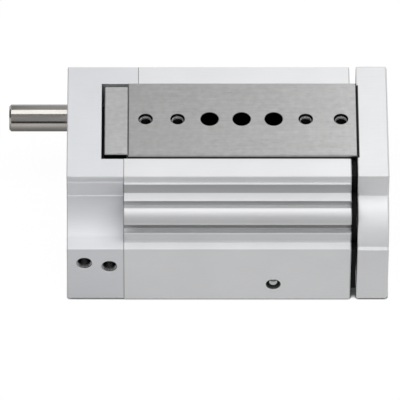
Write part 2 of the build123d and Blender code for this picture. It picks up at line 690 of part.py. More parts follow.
with BuildPart() as front_cover:
    with BuildSketch(Plane.YZ.offset(front_x)):
        with BuildLine():
            Polyline(
                (far_y - COVER_INSET, COVER_BASE),
                (far_y - COVER_INSET, guide_floor),
                (table_y + guide_half, guide_floor),
                (table_y + guide_half, flange_base - COVER_TABLE_GAP),
                (table_y - guide_half, flange_base - COVER_TABLE_GAP),
                (table_y - guide_half, BODY_HEIGHT - COVER_INSET),
                (deck_y + COVER_INSET, BODY_HEIGHT - COVER_INSET),
                (deck_y + COVER_INSET, shoulder_z - COVER_INSET),
                (side_y + COVER_INSET, shoulder_z - COVER_INSET),
                (side_y + COVER_INSET, LEDGE_HEIGHT - COVER_INSET),
                (near_y + COVER_INSET, LEDGE_HEIGHT - COVER_INSET),
                (near_y + COVER_INSET, COVER_BASE),
                (far_y - COVER_INSET, COVER_BASE),
            )
        make_face()
        with Locations((table_y, table_base - COVER_TABLE_GAP)):
            Rectangle(
                2 * (table_flank + COVER_TABLE_GAP),
                TABLE_DEPTH,
                align=(Align.CENTER, Align.MIN),
                mode=Mode.SUBTRACT,
            )
        with Locations((bore_y, BORE_HEIGHT)):
            Circle(PISTON_ROD / 2 + COVER_ROD_GAP, mode=Mode.SUBTRACT)
        with Locations((clamp_y, clamp_z)):
            Circle(CLAMP_ROD / 2 + COVER_ROD_GAP, mode=Mode.SUBTRACT)
    extrude(amount=COVER_THICKNESS)
    with Locations(*[on_front(front_x + COVER_THICKNESS, y, z) for y, z in cover_screw_places]):
        CounterSinkHole(
            M4.thread / 2 + SCREW_CLEARANCE,
            COVER_SCREW_HEAD / 2 + END_CLEARANCE + SCREW_CLEARANCE,
            depth=COVER_THICKNESS,
            counter_sink_angle=90,
        )
front_cover.part.label = "front_cover"
export_step(front_cover.part, "parts/front_cover.step")

with BuildPart() as cover_screws:
    for y, z in cover_screw_places:
        with Locations(on_front(front_x + COVER_THICKNESS - END_CLEARANCE, y, z)):
            add(countersunk_screw(M4, COVER_SCREW_HEAD, COVER_THICKNESS - END_CLEARANCE + COVER_SCREW_BITE))
cover_screws.part.label = "cover_screws"
export_step(cover_screws.part, "parts/cover_screws.step")

# ---- guide: rails, balls and cages -----------------------------------------------------------
for name, side in (("near", -1), ("far", 1)):
    ball_y = table_y + side * BALL_OFFSET
    flank_y = table_y + side * rail_flank
    wall_y = table_y + side * guide_half

    with BuildPart() as guide_rail:
        with BuildSketch(Plane.YZ.offset(rail_rear_x)):
            with Locations(((flank_y + wall_y) / 2, guide_floor)):
                Rectangle(guide_half - rail_flank, rail_top - guide_floor, align=(Align.CENTER, Align.MIN))
            with Locations((ball_y, ball_z)):
                Circle(raceway_radius, mode=Mode.SUBTRACT)
        extrude(amount=rail_front_x - rail_rear_x)
    guide_rail.part.label = f"guide_rail_{name}"
    export_step(guide_rail.part, f"parts/guide_rail_{name}.step")

    with BuildPart() as ball_cage:
        with BuildSketch(Plane.YZ.offset(cage_rear_x)):
            with Locations((ball_y, ball_z)):
                Rectangle(CAGE_THICKNESS, CAGE_HEIGHT)
        extrude(amount=cage_length)
        with BuildSketch(Plane.XZ.offset(-ball_y)):
            with Locations((cage_middle_x, ball_z)):
                with GridLocations(BALL_PITCH, 0, BALL_COUNT, 1):
                    Circle(BALL_DIAMETER / 2 + CAGE_BALL_CLEARANCE)
        extrude(amount=CAGE_THICKNESS, both=True, mode=Mode.SUBTRACT)
    ball_cage.part.label = f"ball_cage_{name}"
    export_step(ball_cage.part, f"parts/ball_cage_{name}.step")

    with BuildPart() as guide_balls:
        with Locations((cage_middle_x, ball_y, ball_z)):
            with GridLocations(BALL_PITCH, 0, BALL_COUNT, 1):
                Sphere(BALL_DIAMETER / 2)
    guide_balls.part.label = f"guide_balls_{name}"
    export_step(guide_balls.part, f"parts/guide_balls_{name}.step")

# ---- table -----------------------------------------------------------------------------------
with BuildPart() as table:
    with BuildSketch(Plane.YZ.offset(table_rear_x)):
        with Locations((table_y, table_top)):
            Rectangle(TABLE_WIDTH, TABLE_FLANGE, align=(Align.CENTER, Align.MAX))
        with Locations((table_y, flange_base)):
            Rectangle(2 * table_flank, TABLE_DEPTH - TABLE_FLANGE, align=(Align.CENTER, Align.MAX))
        with Locations((table_y - BALL_OFFSET, ball_z), (table_y + BALL_OFFSET, ball_z)):
            Circle(raceway_radius, mode=Mode.SUBTRACT)
    extrude(amount=yoke_rear_x - table_rear_x)
    chamfer(table.faces().sort_by(Axis.Z)[-1].edges(), length=TABLE_EDGE)
    for back in TABLE_CENTRINGS:
        with Locations(Plane(origin=(yoke_rear_x - back, table_y, table_top))):
            Hole(CENTRING_DIAMETER / 2, depth=CENTRING_DEPTH)
            Hole(M6.core / 2, depth=TABLE_DEPTH)
    with Locations(*[Plane(origin=(yoke_rear_x - back, table_y, table_top)) for back in TABLE_THREADS]):
        add(tapped_hole(M8, THREAD_DEPTH), mode=Mode.SUBTRACT)
    # tapped seats and dowel holes in the front end, tapped seats in the rear end
    with Locations(*[on_front(yoke_rear_x, y, table_screw_z) for y in table_screw_ys]):
        Hole(M6.thread / 2 + SCREW_CLEARANCE, depth=THREAD_BITE + END_CLEARANCE)
    with Locations(*[on_front(yoke_rear_x, y, dowel_z) for y in dowel_ys]):
        Hole(DOWEL / 2 + SCREW_CLEARANCE, depth=DOWEL_BITE + END_CLEARANCE)
    with Locations(*[on_rear(table_rear_x, y, table_screw_z) for y in table_screw_ys]):
        Hole(M5.thread / 2 + SCREW_CLEARANCE, depth=THREAD_BITE + END_CLEARANCE)
table.part.label = "table"
export_step(table.part, "parts/table.step")

with BuildPart() as table_end_block:
    block_top = table_top - END_BLOCK_SINK
    with BuildSketch(Plane.YZ.offset(table_rear_x - END_BLOCK_LENGTH)):
        with Locations((table_y, block_top)):
            Rectangle(END_BLOCK_WIDTH, TABLE_FLANGE - END_BLOCK_SINK, align=(Align.CENTER, Align.MAX))
        with Locations((table_y, flange_base)):
            Rectangle(
                2 * (table_flank - END_BLOCK_FLANK),
                TABLE_DEPTH - TABLE_FLANGE - END_BLOCK_FLANK,
                align=(Align.CENTER, Align.MAX),
            )
    extrude(amount=END_BLOCK_LENGTH)
    chamfer(table_end_block.faces().sort_by(Axis.Z)[-1].edges(), length=EDGE)
    block_rear_x = table_rear_x - END_BLOCK_LENGTH
    with Locations(*[on_rear(block_rear_x, y, table_screw_z) for y in table_screw_ys]):
        add(screw_seat(M5, END_BLOCK_LENGTH), mode=Mode.SUBTRACT)
table_end_block.part.label = "table_end_block"
export_step(table_end_block.part, "parts/table_end_block.step")

with BuildPart() as end_block_screws:
    head_x = table_rear_x - END_BLOCK_LENGTH + M5.head_height + HEAD_SINK
    with Locations(*[on_rear(head_x, y, table_screw_z) for y in table_screw_ys]):
        add(cap_screw(M5, table_rear_x - head_x + THREAD_BITE))
end_block_screws.part.label = "end_block_screws"
export_step(end_block_screws.part, "parts/end_block_screws.step")

# ---- yoke plate ------------------------------------------------------------------------------
with BuildPart() as yoke_plate:
    with BuildSketch(Plane.YZ.offset(yoke_rear_x)):
        with BuildLine():
            Polyline(
                (far_y, YOKE_BASE_GAP),
                (far_y, BODY_HEIGHT),
                (deck_y, BODY_HEIGHT),
                (deck_y, YOKE_LEDGE_HEIGHT + YOKE_ARC),
            )
            RadiusArc(
                (deck_y, YOKE_LEDGE_HEIGHT + YOKE_ARC),
                (deck_y - YOKE_ARC, YOKE_LEDGE_HEIGHT),
                -YOKE_ARC,
            )
            Polyline(
                (deck_y - YOKE_ARC, YOKE_LEDGE_HEIGHT),
                (near_y, YOKE_LEDGE_HEIGHT),
                (near_y, YOKE_BASE_GAP),
                (far_y, YOKE_BASE_GAP),
            )
        make_face()
    extrude(amount=YOKE_THICKNESS)
    chamfer(yoke_plate.faces().sort_by(Axis.X)[-1].outer_wire().edges(), length=YOKE_EDGE)
    chamfer(yoke_plate.faces().sort_by(Axis.X)[0].outer_wire().edges(), length=EDGE)
    with Locations(*[on_front(yoke_front_x, y, table_screw_z) for y in table_screw_ys]):
        add(screw_seat(M6, YOKE_THICKNESS), mode=Mode.SUBTRACT)
    with Locations(*[on_front(yoke_front_x, y, z) for y, z in rod_places]):
        add(screw_seat(M8, YOKE_THICKNESS), mode=Mode.SUBTRACT)
    with Locations(*[on_rear(yoke_rear_x, y, z) for y, z in rod_places]):
        Hole(SPIGOT_DIAMETER / 2 + SCREW_CLEARANCE, depth=SPIGOT_LENGTH)
    with Locations(*[on_rear(yoke_rear_x, y, dowel_z) for y in dowel_ys]):
        Hole(DOWEL / 2 + SCREW_CLEARANCE, depth=DOWEL_LENGTH - DOWEL_BITE + END_CLEARANCE)
    # payload holes in the front face
    with Locations(on_front(yoke_front_x, table_y, YOKE_PATTERN_HEIGHT)):
        with GridLocations(YOKE_PATTERN, YOKE_PATTERN, 2, 2):
            add(tapped_hole(M8, THREAD_DEPTH), mode=Mode.SUBTRACT)
        with GridLocations(0, YOKE_PATTERN, 1, 2):
            Hole(CENTRING_DIAMETER / 2, depth=YOKE_CENTRING_DEPTH)
yoke_plate.part.label = "yoke_plate"
export_step(yoke_plate.part, "parts/yoke_plate.step")

with BuildPart() as yoke_screws:
    head_x = yoke_front_x - M6.head_height - HEAD_SINK
    with Locations(*[on_front(head_x, y, table_screw_z) for y in table_screw_ys]):
        add(cap_screw(M6, head_x - yoke_rear_x + THREAD_BITE))
yoke_screws.part.label = "yoke_screws"
export_step(yoke_screws.part, "parts/yoke_screws.step")

with BuildPart() as yoke_dowels:
    with Locations(*[on_front(yoke_rear_x - DOWEL_BITE, y, dowel_z) for y in dowel_ys]):
        Cylinder(DOWEL / 2, DOWEL_LENGTH, align=(Align.CENTER, Align.CENTER, Align.MIN))
yoke_dowels.part.label = "yoke_dowels"
export_step(yoke_dowels.part, "parts/yoke_dowels.step")

# ---- rods and piston -------------------------------------------------------------------------
with BuildPart() as piston_rod:
    with Locations(on_front(piston_rear_x, bore_y, BORE_HEIGHT)):
        add(disc(PISTON_BOSS, PISTON_LENGTH))
    with Locations(on_front(piston_front_x, bore_y, BORE_HEIGHT)):
        add(disc(PISTON_ROD, yoke_rear_x - piston_front_x))
    with Locations(on_front(yoke_rear_x, bore_y, BORE_HEIGHT)):
        add(ring(SPIGOT_DIAMETER, rod_seat, SPIGOT_LENGTH))
        Hole(rod_seat / 2, depth=THREAD_BITE + END_CLEARANCE)
piston_rod.part.label = "piston_rod"
export_step(piston_rod.part, "parts/piston_rod.step")

with BuildPart() as piston:
    with BuildSketch(Plane.YZ.offset(piston_rear_x)):
        with Locations((bore_y, BORE_HEIGHT)):
            Circle(bore_radius - PISTON_CLEARANCE)
            Circle(PISTON_BOSS / 2, mode=Mode.SUBTRACT)
    extrude(amount=PISTON_LENGTH)
    # grooves for the two seals and, between them, the magnet
    for groove_x, width, depth in piston_grooves:
        with BuildSketch(Plane.YZ.offset(groove_x)):
            with Locations((bore_y, BORE_HEIGHT)):
                Circle(bore_radius)
                Circle(bore_radius - PISTON_CLEARANCE - depth, mode=Mode.SUBTRACT)
        extrude(amount=width, mode=Mode.SUBTRACT)
piston.part.label = "piston"
export_step(piston.part, "parts/piston.step")

with BuildPart() as piston_seals:
    for groove_x, width, depth in (piston_grooves[0], piston_grooves[2]):
        with Locations(on_front(groove_x, bore_y, BORE_HEIGHT)):
            add(ring(BORE - 2 * PISTON_SEAL_CLEARANCE, BORE - 2 * (PISTON_CLEARANCE + depth), width))
piston_seals.part.label = "piston_seals"
export_step(piston_seals.part, "parts/piston_seals.step")

with BuildPart() as piston_magnet:
    groove_x, width, depth = piston_grooves[1]
    with Locations(on_front(groove_x, bore_y, BORE_HEIGHT)):
        add(ring(BORE - 2 * MAGNET_CLEARANCE, BORE - 2 * (PISTON_CLEARANCE + depth), width))
piston_magnet.part.label = "piston_magnet"
export_step(piston_magnet.part, "parts/piston_magnet.step")

with BuildPart() as clamping_rod:
    clamp_tail_x = rear_x - CLAMP_ROD_TAIL
    with Locations(on_front(clamp_tail_x, clamp_y, clamp_z)):
        add(disc(CLAMP_ROD, yoke_rear_x - clamp_tail_x))
    chamfer(clamping_rod.edges().group_by(Axis.X)[0], length=CLAMP_ROD_NOSE)
    with Locations(on_front(yoke_rear_x, clamp_y, clamp_z)):
        add(ring(SPIGOT_DIAMETER, rod_seat, SPIGOT_LENGTH))
        Hole(rod_seat / 2, depth=THREAD_BITE + END_CLEARANCE)
clamping_rod.part.label = "clamping_rod"
export_step(clamping_rod.part, "parts/clamping_rod.step")

with BuildPart() as rod_screws:
    head_x = yoke_front_x - M8.head_height - HEAD_SINK
    with Locations(*[on_front(head_x, y, z) for y, z in rod_places]):
        add(cap_screw(M8, head_x - yoke_rear_x + THREAD_BITE))
rod_screws.part.label = "rod_screws"
export_step(rod_screws.part, "parts/rod_screws.step")
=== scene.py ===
"""Studio scene of a compact pneumatic slide table.

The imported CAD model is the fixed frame. This script dresses its parts with finishes, adds the
screw threads that the solids leave out, and sets up the floor, the lights and the camera.
Everything is in metres in the model's own frame: +X along the stroke, +Z up, and the cylinder
side, which the camera faces, towards -Y.
"""

from __future__ import annotations

import json
import logging
import math
from dataclasses import dataclass
from enum import Enum
from typing import Iterable

import bpy
import numpy as np
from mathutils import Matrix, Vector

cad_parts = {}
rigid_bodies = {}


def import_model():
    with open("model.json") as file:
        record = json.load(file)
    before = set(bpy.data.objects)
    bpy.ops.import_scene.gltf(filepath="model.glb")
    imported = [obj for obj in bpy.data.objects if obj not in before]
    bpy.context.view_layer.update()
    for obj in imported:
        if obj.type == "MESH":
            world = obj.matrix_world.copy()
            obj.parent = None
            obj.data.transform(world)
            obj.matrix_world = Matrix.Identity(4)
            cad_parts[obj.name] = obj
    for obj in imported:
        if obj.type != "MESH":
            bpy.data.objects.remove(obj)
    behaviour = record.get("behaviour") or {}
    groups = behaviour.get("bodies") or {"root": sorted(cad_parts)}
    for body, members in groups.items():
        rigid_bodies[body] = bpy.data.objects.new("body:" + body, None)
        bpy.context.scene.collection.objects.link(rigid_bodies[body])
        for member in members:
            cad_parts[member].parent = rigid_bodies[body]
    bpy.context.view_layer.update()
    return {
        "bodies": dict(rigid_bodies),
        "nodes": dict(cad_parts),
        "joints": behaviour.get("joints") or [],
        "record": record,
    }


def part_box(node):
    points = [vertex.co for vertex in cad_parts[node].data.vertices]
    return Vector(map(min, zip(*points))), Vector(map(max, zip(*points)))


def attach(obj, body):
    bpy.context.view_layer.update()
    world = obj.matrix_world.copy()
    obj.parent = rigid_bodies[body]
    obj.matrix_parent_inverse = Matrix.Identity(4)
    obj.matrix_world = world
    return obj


Pair = tuple[float, float]
Triple = tuple[float, float, float]
Socket = bpy.types.NodeSocket
Layers = tuple[object, object, Socket]

LOG = logging.getLogger("slide_table")
CREST = "crest"


@dataclass(frozen=True)
class PaintedShade:
    """A box of painted shade: a slot, a bore, a joint or a wall that would lie in its own shade.

    Inside it shade is the share of the colour that is left, and the painted dark comes in over the
    feather, a distance from every side.
    """

    low: Iterable[float]
    high: Iterable[float]
    shade: float
    feather: float = 0.0008


# Boxes of painted shade of each material slot.
PaintedShades = dict[str, list[PaintedShade]]


def corners(node: str) -> tuple[np.ndarray, np.ndarray]:
    """Return the lowest and the highest corner of a CAD node as arrays, in metres."""
    low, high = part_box(node)
    return np.array(list(low)), np.array(list(high))


# ---- node trees ----


class NodeSheet:
    """Lays out one material's node tree. Most methods add nodes and return their output."""

    def __init__(self, name: str) -> None:
        """Start an empty material.

        Args:
            name: Name of the material.
        """
        self.material = bpy.data.materials.new(name)
        self.material.use_nodes = True
        self.tree = self.material.node_tree
        self.tree.nodes.clear()
        self.output = self.add("OutputMaterial")
        self.place = self.add("TexCoord").outputs["Object"]

    def put(self, socket: Socket, value: object) -> None:
        """Set an input, by a link if the value is a socket.

        Args:
            socket: Input to set.
            value: Socket, number or tuple.
        """
        if isinstance(value, Socket):
            self.tree.links.new(value, socket)
        else:
            socket.default_value = value

    def add(self, kind: str, **inputs: object) -> bpy.types.Node:
        """Add a node and set its inputs.

        Args:
            kind: Blender's name for it, without ShaderNode.
            inputs: Their values by name, with _ for a space.

        Returns:
            The node.
        """
        node = self.tree.nodes.new(f"ShaderNode{kind}")
        for name, value in inputs.items():
            self.put(node.inputs[name.replace("_", " ")], value)
        return node

    def stretched(self, scale: Triple) -> Socket:
        """Return the object coordinates scaled along each axis."""
        return self.add("Mapping", Vector=self.place, Scale=scale).outputs["Vector"]

    def noise(self, vector: Socket, scale: float, detail: float, rough: float = 0.5) -> Socket:
        """Return a noise value.

        Args:
            vector: Where it is read.
            scale: Cells per unit.
            detail: Number of octaves.
            rough: Weight of the finer octaves.

        Returns:
            A value from 0 to 1, 0.5 on average.
        """
        node = self.add("TexNoise", Vector=vector, Scale=scale, Detail=detail, Roughness=rough)
        return node.outputs["Fac"]

    def spread(self, value: Socket, source: Pair, target: Pair) -> Socket:
        """Return a value carried from one range to another and held at its ends.

        Args:
            value: Input value.
            source: Range it is read from.
            target: Range it is carried to.

        Returns:
            The carried value.
        """
        (low, high), (first, last) = source, target
        node = self.add(
            "MapRange", Value=value, From_Min=low, From_Max=high, To_Min=first, To_Max=last
        )
        return node.outputs["Result"]

    def maths(self, operation: str, first: object, second: object) -> Socket:
        """Return the result of one operation on two values.

        Args:
            operation: Blender's name for it.
            first: First value.
            second: Second value.

        Returns:
            The result.
        """
        node = self.add("Math")
        node.operation = operation
        self.put(node.inputs[0], first)
        self.put(node.inputs[1], second)
        return node.outputs["Value"]

    def mix(self, factor: object, first: object, second: object) -> Socket:
        """Return a mix of two colours.

        Args:
            factor: Share of the second colour.
            first: First colour.
            second: Second colour.

        Returns:
            The mixed colour.
        """
        node = self.add("Mix", Factor=factor)
        node.data_type = "RGBA"
        self.put(node.inputs[6], first)
        self.put(node.inputs[7], second)
        return node.outputs[2]

    def tint(self, value: Socket, source: Pair, colour: Triple, tones: Pair) -> Socket:
        """Return a colour that goes from a darker to a lighter tone of itself.

        Args:
            value: What the tone follows.
            source: Range of the value over which it changes.
            colour: Red, green and blue of its middle tone.
            tones: What they are multiplied by at the start and at the end.

        Returns:
            The colour.
        """
        dark, light = ((*(min(1.0, part * tone) for part in colour), 1.0) for tone in tones)
        return self.mix(self.spread(value, source, (0.0, 1.0)), dark, light)

    def gloss(self, value: Socket, middle: float, less: float, more: float) -> Socket:
        """Return a roughness from middle - less to middle + more, as a noise value rises."""
        return self.spread(value, (0.3, 0.7), (middle - less, middle + more))

    def bump(self, height: Socket, depth: float, below: Socket | None = None) -> Socket:
        """Return a normal bent by a height.

        Args:
            height: Height from 0 to 1.
            depth: Real depth of a height of 1, in metres.
            below: Normal that it starts from, if another bump comes first.

        Returns:
            The bent normal.
        """
        node = self.add("Bump", Strength=1.0, Distance=depth, Height=height)
        if below is not None:
            self.put(node.inputs["Normal"], below)
        return node.outputs["Normal"]

    def outside(self, low: Iterable[float], high: Iterable[float]) -> Socket:
        """Return how far a point lies outside a box, along the axis where it is furthest out.

        It is the largest part of |place - middle| - half size, so it is negative inside.

        Args:
            low: Lowest corner.
            high: Highest corner.

        Returns:
            The distance in metres.
        """
        value = self.place
        steps = (
            ("SUBTRACT", tuple(0.5 * (a + b) for a, b in zip(low, high))),
            ("ABSOLUTE", (0.0, 0.0, 0.0)),
            ("SUBTRACT", tuple(0.5 * (b - a) for a, b in zip(low, high))),
        )
        for operation, other in steps:
            node = self.add("VectorMath")
            node.operation = operation
            self.put(node.inputs[0], value)
            self.put(node.inputs[1], other)
            value = node.outputs["Vector"]
        node = self.add("SeparateXYZ", Vector=value)
        widest = self.maths("MAXIMUM", node.outputs["X"], node.outputs["Y"])
        return self.maths("MAXIMUM", widest, node.outputs["Z"])

    def paint_shade(self, colour: object, recesses: Iterable[PaintedShade]) -> object:
        """Paint shade into a colour inside recesses, where little light would come back out.

        Args:
            colour: Colour of the open surface.
            recesses: Boxes of painted shade.

        Returns:
            The colour with all its painted shade.
        """
        for recess in recesses:
            # Painted shade: the colour is mixed towards black inside each box.
            out = self.outside(recess.low, recess.high)
            depth = self.spread(out, (-recess.feather, 0.0), (1.0 - recess.shade, 0.0))
            colour = self.mix(depth, colour, (0.0, 0.0, 0.0, 1.0))
        return colour

    def close(
        self, colour: object, roughness: object, normal: Socket, metallic: float, specular: float
    ) -> bpy.types.Material:
        """Close the tree with a principled surface.

        Args:
            colour: Base colour.
            roughness: Roughness.
            normal: Bent normal.
            metallic: 1 for metal, 0 for plastic and rubber.
            specular: Share of the usual mirror reflection on what isn't metal.

        Returns:
            The finished material.
        """
        node = self.add("BsdfPrincipled", Base_Color=colour, Roughness=roughness, Normal=normal)
        node.inputs["Metallic"].default_value = metallic
        node.inputs["Specular IOR Level"].default_value = specular
        self.put(self.output.inputs["Surface"], node.outputs["BSDF"])
        return self.material


# ---- finishes ----


class Lay(Enum):
    """Which way the lines of a metal finish run, as factors that stretch the noise."""

    ALONG_STROKE = (0.04, 1.0, 1.0)
    ACROSS = (1.0, 0.04, 1.0)
    EVEN = (1.0, 1.0, 1.0)


@dataclass(frozen=True)
class Finish:
    """What every finish has: a name, a colour, its reflection, and how far tone and height vary."""

    name: str
    colour: Triple
    roughness: float = 0.5
    metallic: float = 1.0
    specular: float = 0.5
    tones: Pair = (0.85, 1.15)
    depth: float = 1.5e-6

    def layers(self, sheet: NodeSheet) -> Layers:
        """Lay out the nodes that are the finish's own.

        Args:
            sheet: Node tree that they are added to.

        Returns:
            Colour of the open surface, roughness and bent normal.
        """
        raise NotImplementedError

    def material(self, recesses: Iterable[PaintedShade]) -> bpy.types.Material:
        """Make the material, with its painted shade.

        Args:
            recesses: Boxes of painted shade.

        Returns:
            The material.
        """
        sheet = NodeSheet(self.name)
        colour, rough, normal = self.layers(sheet)
        colour = sheet.paint_shade(colour, recesses)
        return sheet.close(colour, rough, normal, self.metallic, self.specular)


@dataclass(frozen=True)
class AnodisedAluminium(Finish):
    """Clear anodised aluminium: a satin metal under a film that scatters part of the light."""

    metallic: float = 0.35
    tones: Pair = (0.965, 1.03)
    depth: float = 2.0e-6
    line_depth: float = 2.5e-6
    lay: Lay = Lay.EVEN
    lines: float = 1.0
    cloud_cells: float = 22.0
    grain_cells: float = 5200.0
    line_cells: float = 2600.0

    def layers(self, sheet: NodeSheet) -> Layers:
        """Lay out faint clouds, a fine grain and the lines left by drawing or milling.

        Args:
            sheet: Node tree.

        Returns:
            Colour, roughness and normal.
        """
        cloud = sheet.noise(sheet.place, self.cloud_cells, 2.0)
        grain = sheet.noise(sheet.place, self.grain_cells, 2.0)
        lines = sheet.noise(sheet.stretched(self.lay.value), self.line_cells, 3.0, 0.6)
        tone = sheet.maths("ADD", sheet.maths("MULTIPLY", lines, 0.6 * self.lines), cloud)
        colour = sheet.tint(tone, (0.5, 1.1), self.colour, self.tones)
        rough = sheet.gloss(grain, self.roughness, 0.03, 0.04)
        normal = sheet.bump(grain, self.depth)
        return colour, rough, sheet.bump(lines, self.line_depth * self.lines, normal)


@dataclass(frozen=True)
class GroundSteel(Finish):
    """Ground or milled steel: long fine lines, each a little lighter or darker than the next."""

    roughness: float = 0.33
    lay: Lay = Lay.ALONG_STROKE
    fine_cells: float = 3400.0
    broad_cells: float = 700.0
    mottle_cells: float = 260.0
    tones: Pair = (0.87, 1.13)
    depth: float = 2.5e-6

    def layers(self, sheet: NodeSheet) -> Layers:
        """Lay out fine and broad lines with a light mottle over them.

        Args:
            sheet: Node tree.

        Returns:
            Colour, roughness and normal.
        """
        fine = sheet.noise(sheet.stretched(self.lay.value), self.fine_cells, 4.0, 0.65)
        broad = sheet.noise(sheet.stretched(self.lay.value), self.broad_cells, 2.0)
        mottle = sheet.noise(sheet.place, self.mottle_cells, 3.0)
        tone = sheet.maths("MULTIPLY", fine, 0.6)
        for layer, weight in ((broad, 0.3), (mottle, 0.5)):
            tone = sheet.maths("ADD", tone, sheet.maths("MULTIPLY", layer, weight))
        colour = sheet.tint(tone, (0.46, 0.94), self.colour, self.tones)
        rough = sheet.gloss(fine, self.roughness, 0.06, 0.06)
        return colour, rough, sheet.bump(fine, self.depth)


@dataclass(frozen=True)
class ChromedSteel(Finish):
    """Hard chromed and ground rod: nearly a mirror, with the faintest rings of its grinding."""

    roughness: float = 0.13
    tones: Pair = (0.93, 1.07)
    ring_cells: float = 2600.0
    length_cells: float = 1500.0

    def layers(self, sheet: NodeSheet) -> Layers:
        """Lay out rings in the gloss and lines along the rod in the colour.

        Args:
            sheet: Node tree.

        Returns:
            Colour, roughness and normal.
        """
        rings = sheet.noise(sheet.stretched(Lay.ACROSS.value), self.ring_cells, 3.0)
        length = sheet.noise(sheet.stretched(Lay.ALONG_STROKE.value), self.length_cells, 3.0)
        colour = sheet.tint(length, (0.35, 0.65), self.colour, self.tones)
        rough = sheet.gloss(rings, self.roughness, 0.02, 0.05)
        return colour, rough, sheet.bump(length, self.depth)


@dataclass(frozen=True)
class TreatedSteel(Finish):
    """Small steel parts: zinc plated, black oxide, phosphated or bright, with a mottled film."""

    roughness: float = 0.35
    film_cells: float = 420.0
    grain_cells: float = 6000.0

    def layers(self, sheet: NodeSheet) -> Layers:
        """Lay out a mottled film over a fine grain.

        Args:
            sheet: Node tree.

        Returns:
            Colour, roughness and normal.
        """
        film = sheet.noise(sheet.place, self.film_cells, 4.0, 0.6)
        grain = sheet.noise(sheet.place, self.grain_cells, 2.0)
        colour = sheet.tint(film, (0.35, 0.65), self.colour, self.tones)
        rough = sheet.gloss(film, self.roughness, 0.05, 0.08)
        return colour, rough, sheet.bump(grain, self.depth)


@dataclass(frozen=True)
class SoftOrMoulded(Finish):
    """Rubber and moulded plastic: no metal, a fine moulded grain and a slightly uneven gloss."""

    roughness: float = 0.55
    metallic: float = 0.0
    depth: float = 4.0e-6
    skin_cells: float = 2600.0
    cloud_cells: float = 60.0

    def layers(self, sheet: NodeSheet) -> Layers:
        """Lay out faint clouds and a moulded skin.

        Args:
            sheet: Node tree.

        Returns:
            Colour, roughness and normal.
        """
        skin = sheet.noise(sheet.place, self.skin_cells, 3.0)
        cloud = sheet.noise(sheet.place, self.cloud_cells, 2.0)
        colour = sheet.tint(cloud, (0.35, 0.65), self.colour, self.tones)
        rough = sheet.gloss(skin, self.roughness, 0.05, 0.08)
        return colour, rough, sheet.bump(skin, self.depth)


@dataclass(frozen=True)
class PorousBronze(Finish):
    """Sintered bronze: warm metal full of fine oil-filled pores."""

    pore_cells: float = 4200.0
    tones: Pair = (0.45, 1.05)
    depth: float = 6.0e-6

    def layers(self, sheet: NodeSheet) -> Layers:
        """Lay out the pores, which are darker and rougher than the metal round them.

        Args:
            sheet: Node tree.

        Returns:
            Colour, roughness and normal.
        """
        pores = sheet.noise(sheet.place, self.pore_cells, 2.0)
        colour = sheet.tint(pores, (0.35, 0.6), self.colour, self.tones)
        rough = sheet.gloss(pores, self.roughness, -0.1, -0.12)
        return colour, rough, sheet.bump(pores, self.depth)


@dataclass(frozen=True)
class CutThread(Finish):
    """Metal of a thread, with painted shade in the grooves and a painted highlight on the crests.
    """

    colour: Triple = (0.93, 0.93, 0.94)
    roughness: float = 0.24
    metallic: float = 0.8
    mark_cells: float = 5200.0
    # Tones of the painted shade in the grooves and of the painted highlight on the crests.
    tones: Pair = (0.05, 1.0)
    depth: float = 2.0e-6

    def layers(self, sheet: NodeSheet) -> Layers:
        """Lay out the painted highlight on the crests, the painted shade in the grooves and fine
        tool marks.

        Args:
            sheet: Node tree.

        Returns:
            Colour, roughness and normal.
        """
        crest = sheet.add("Attribute")
        crest.attribute_name = CREST
        marks = sheet.noise(sheet.place, self.mark_cells, 2.0)
        colour = sheet.tint(crest.outputs["Fac"], (0.15, 0.85), self.colour, self.tones)
        rough = sheet.gloss(marks, self.roughness, 0.05, 0.08)
        return colour, rough, sheet.bump(marks, self.depth)


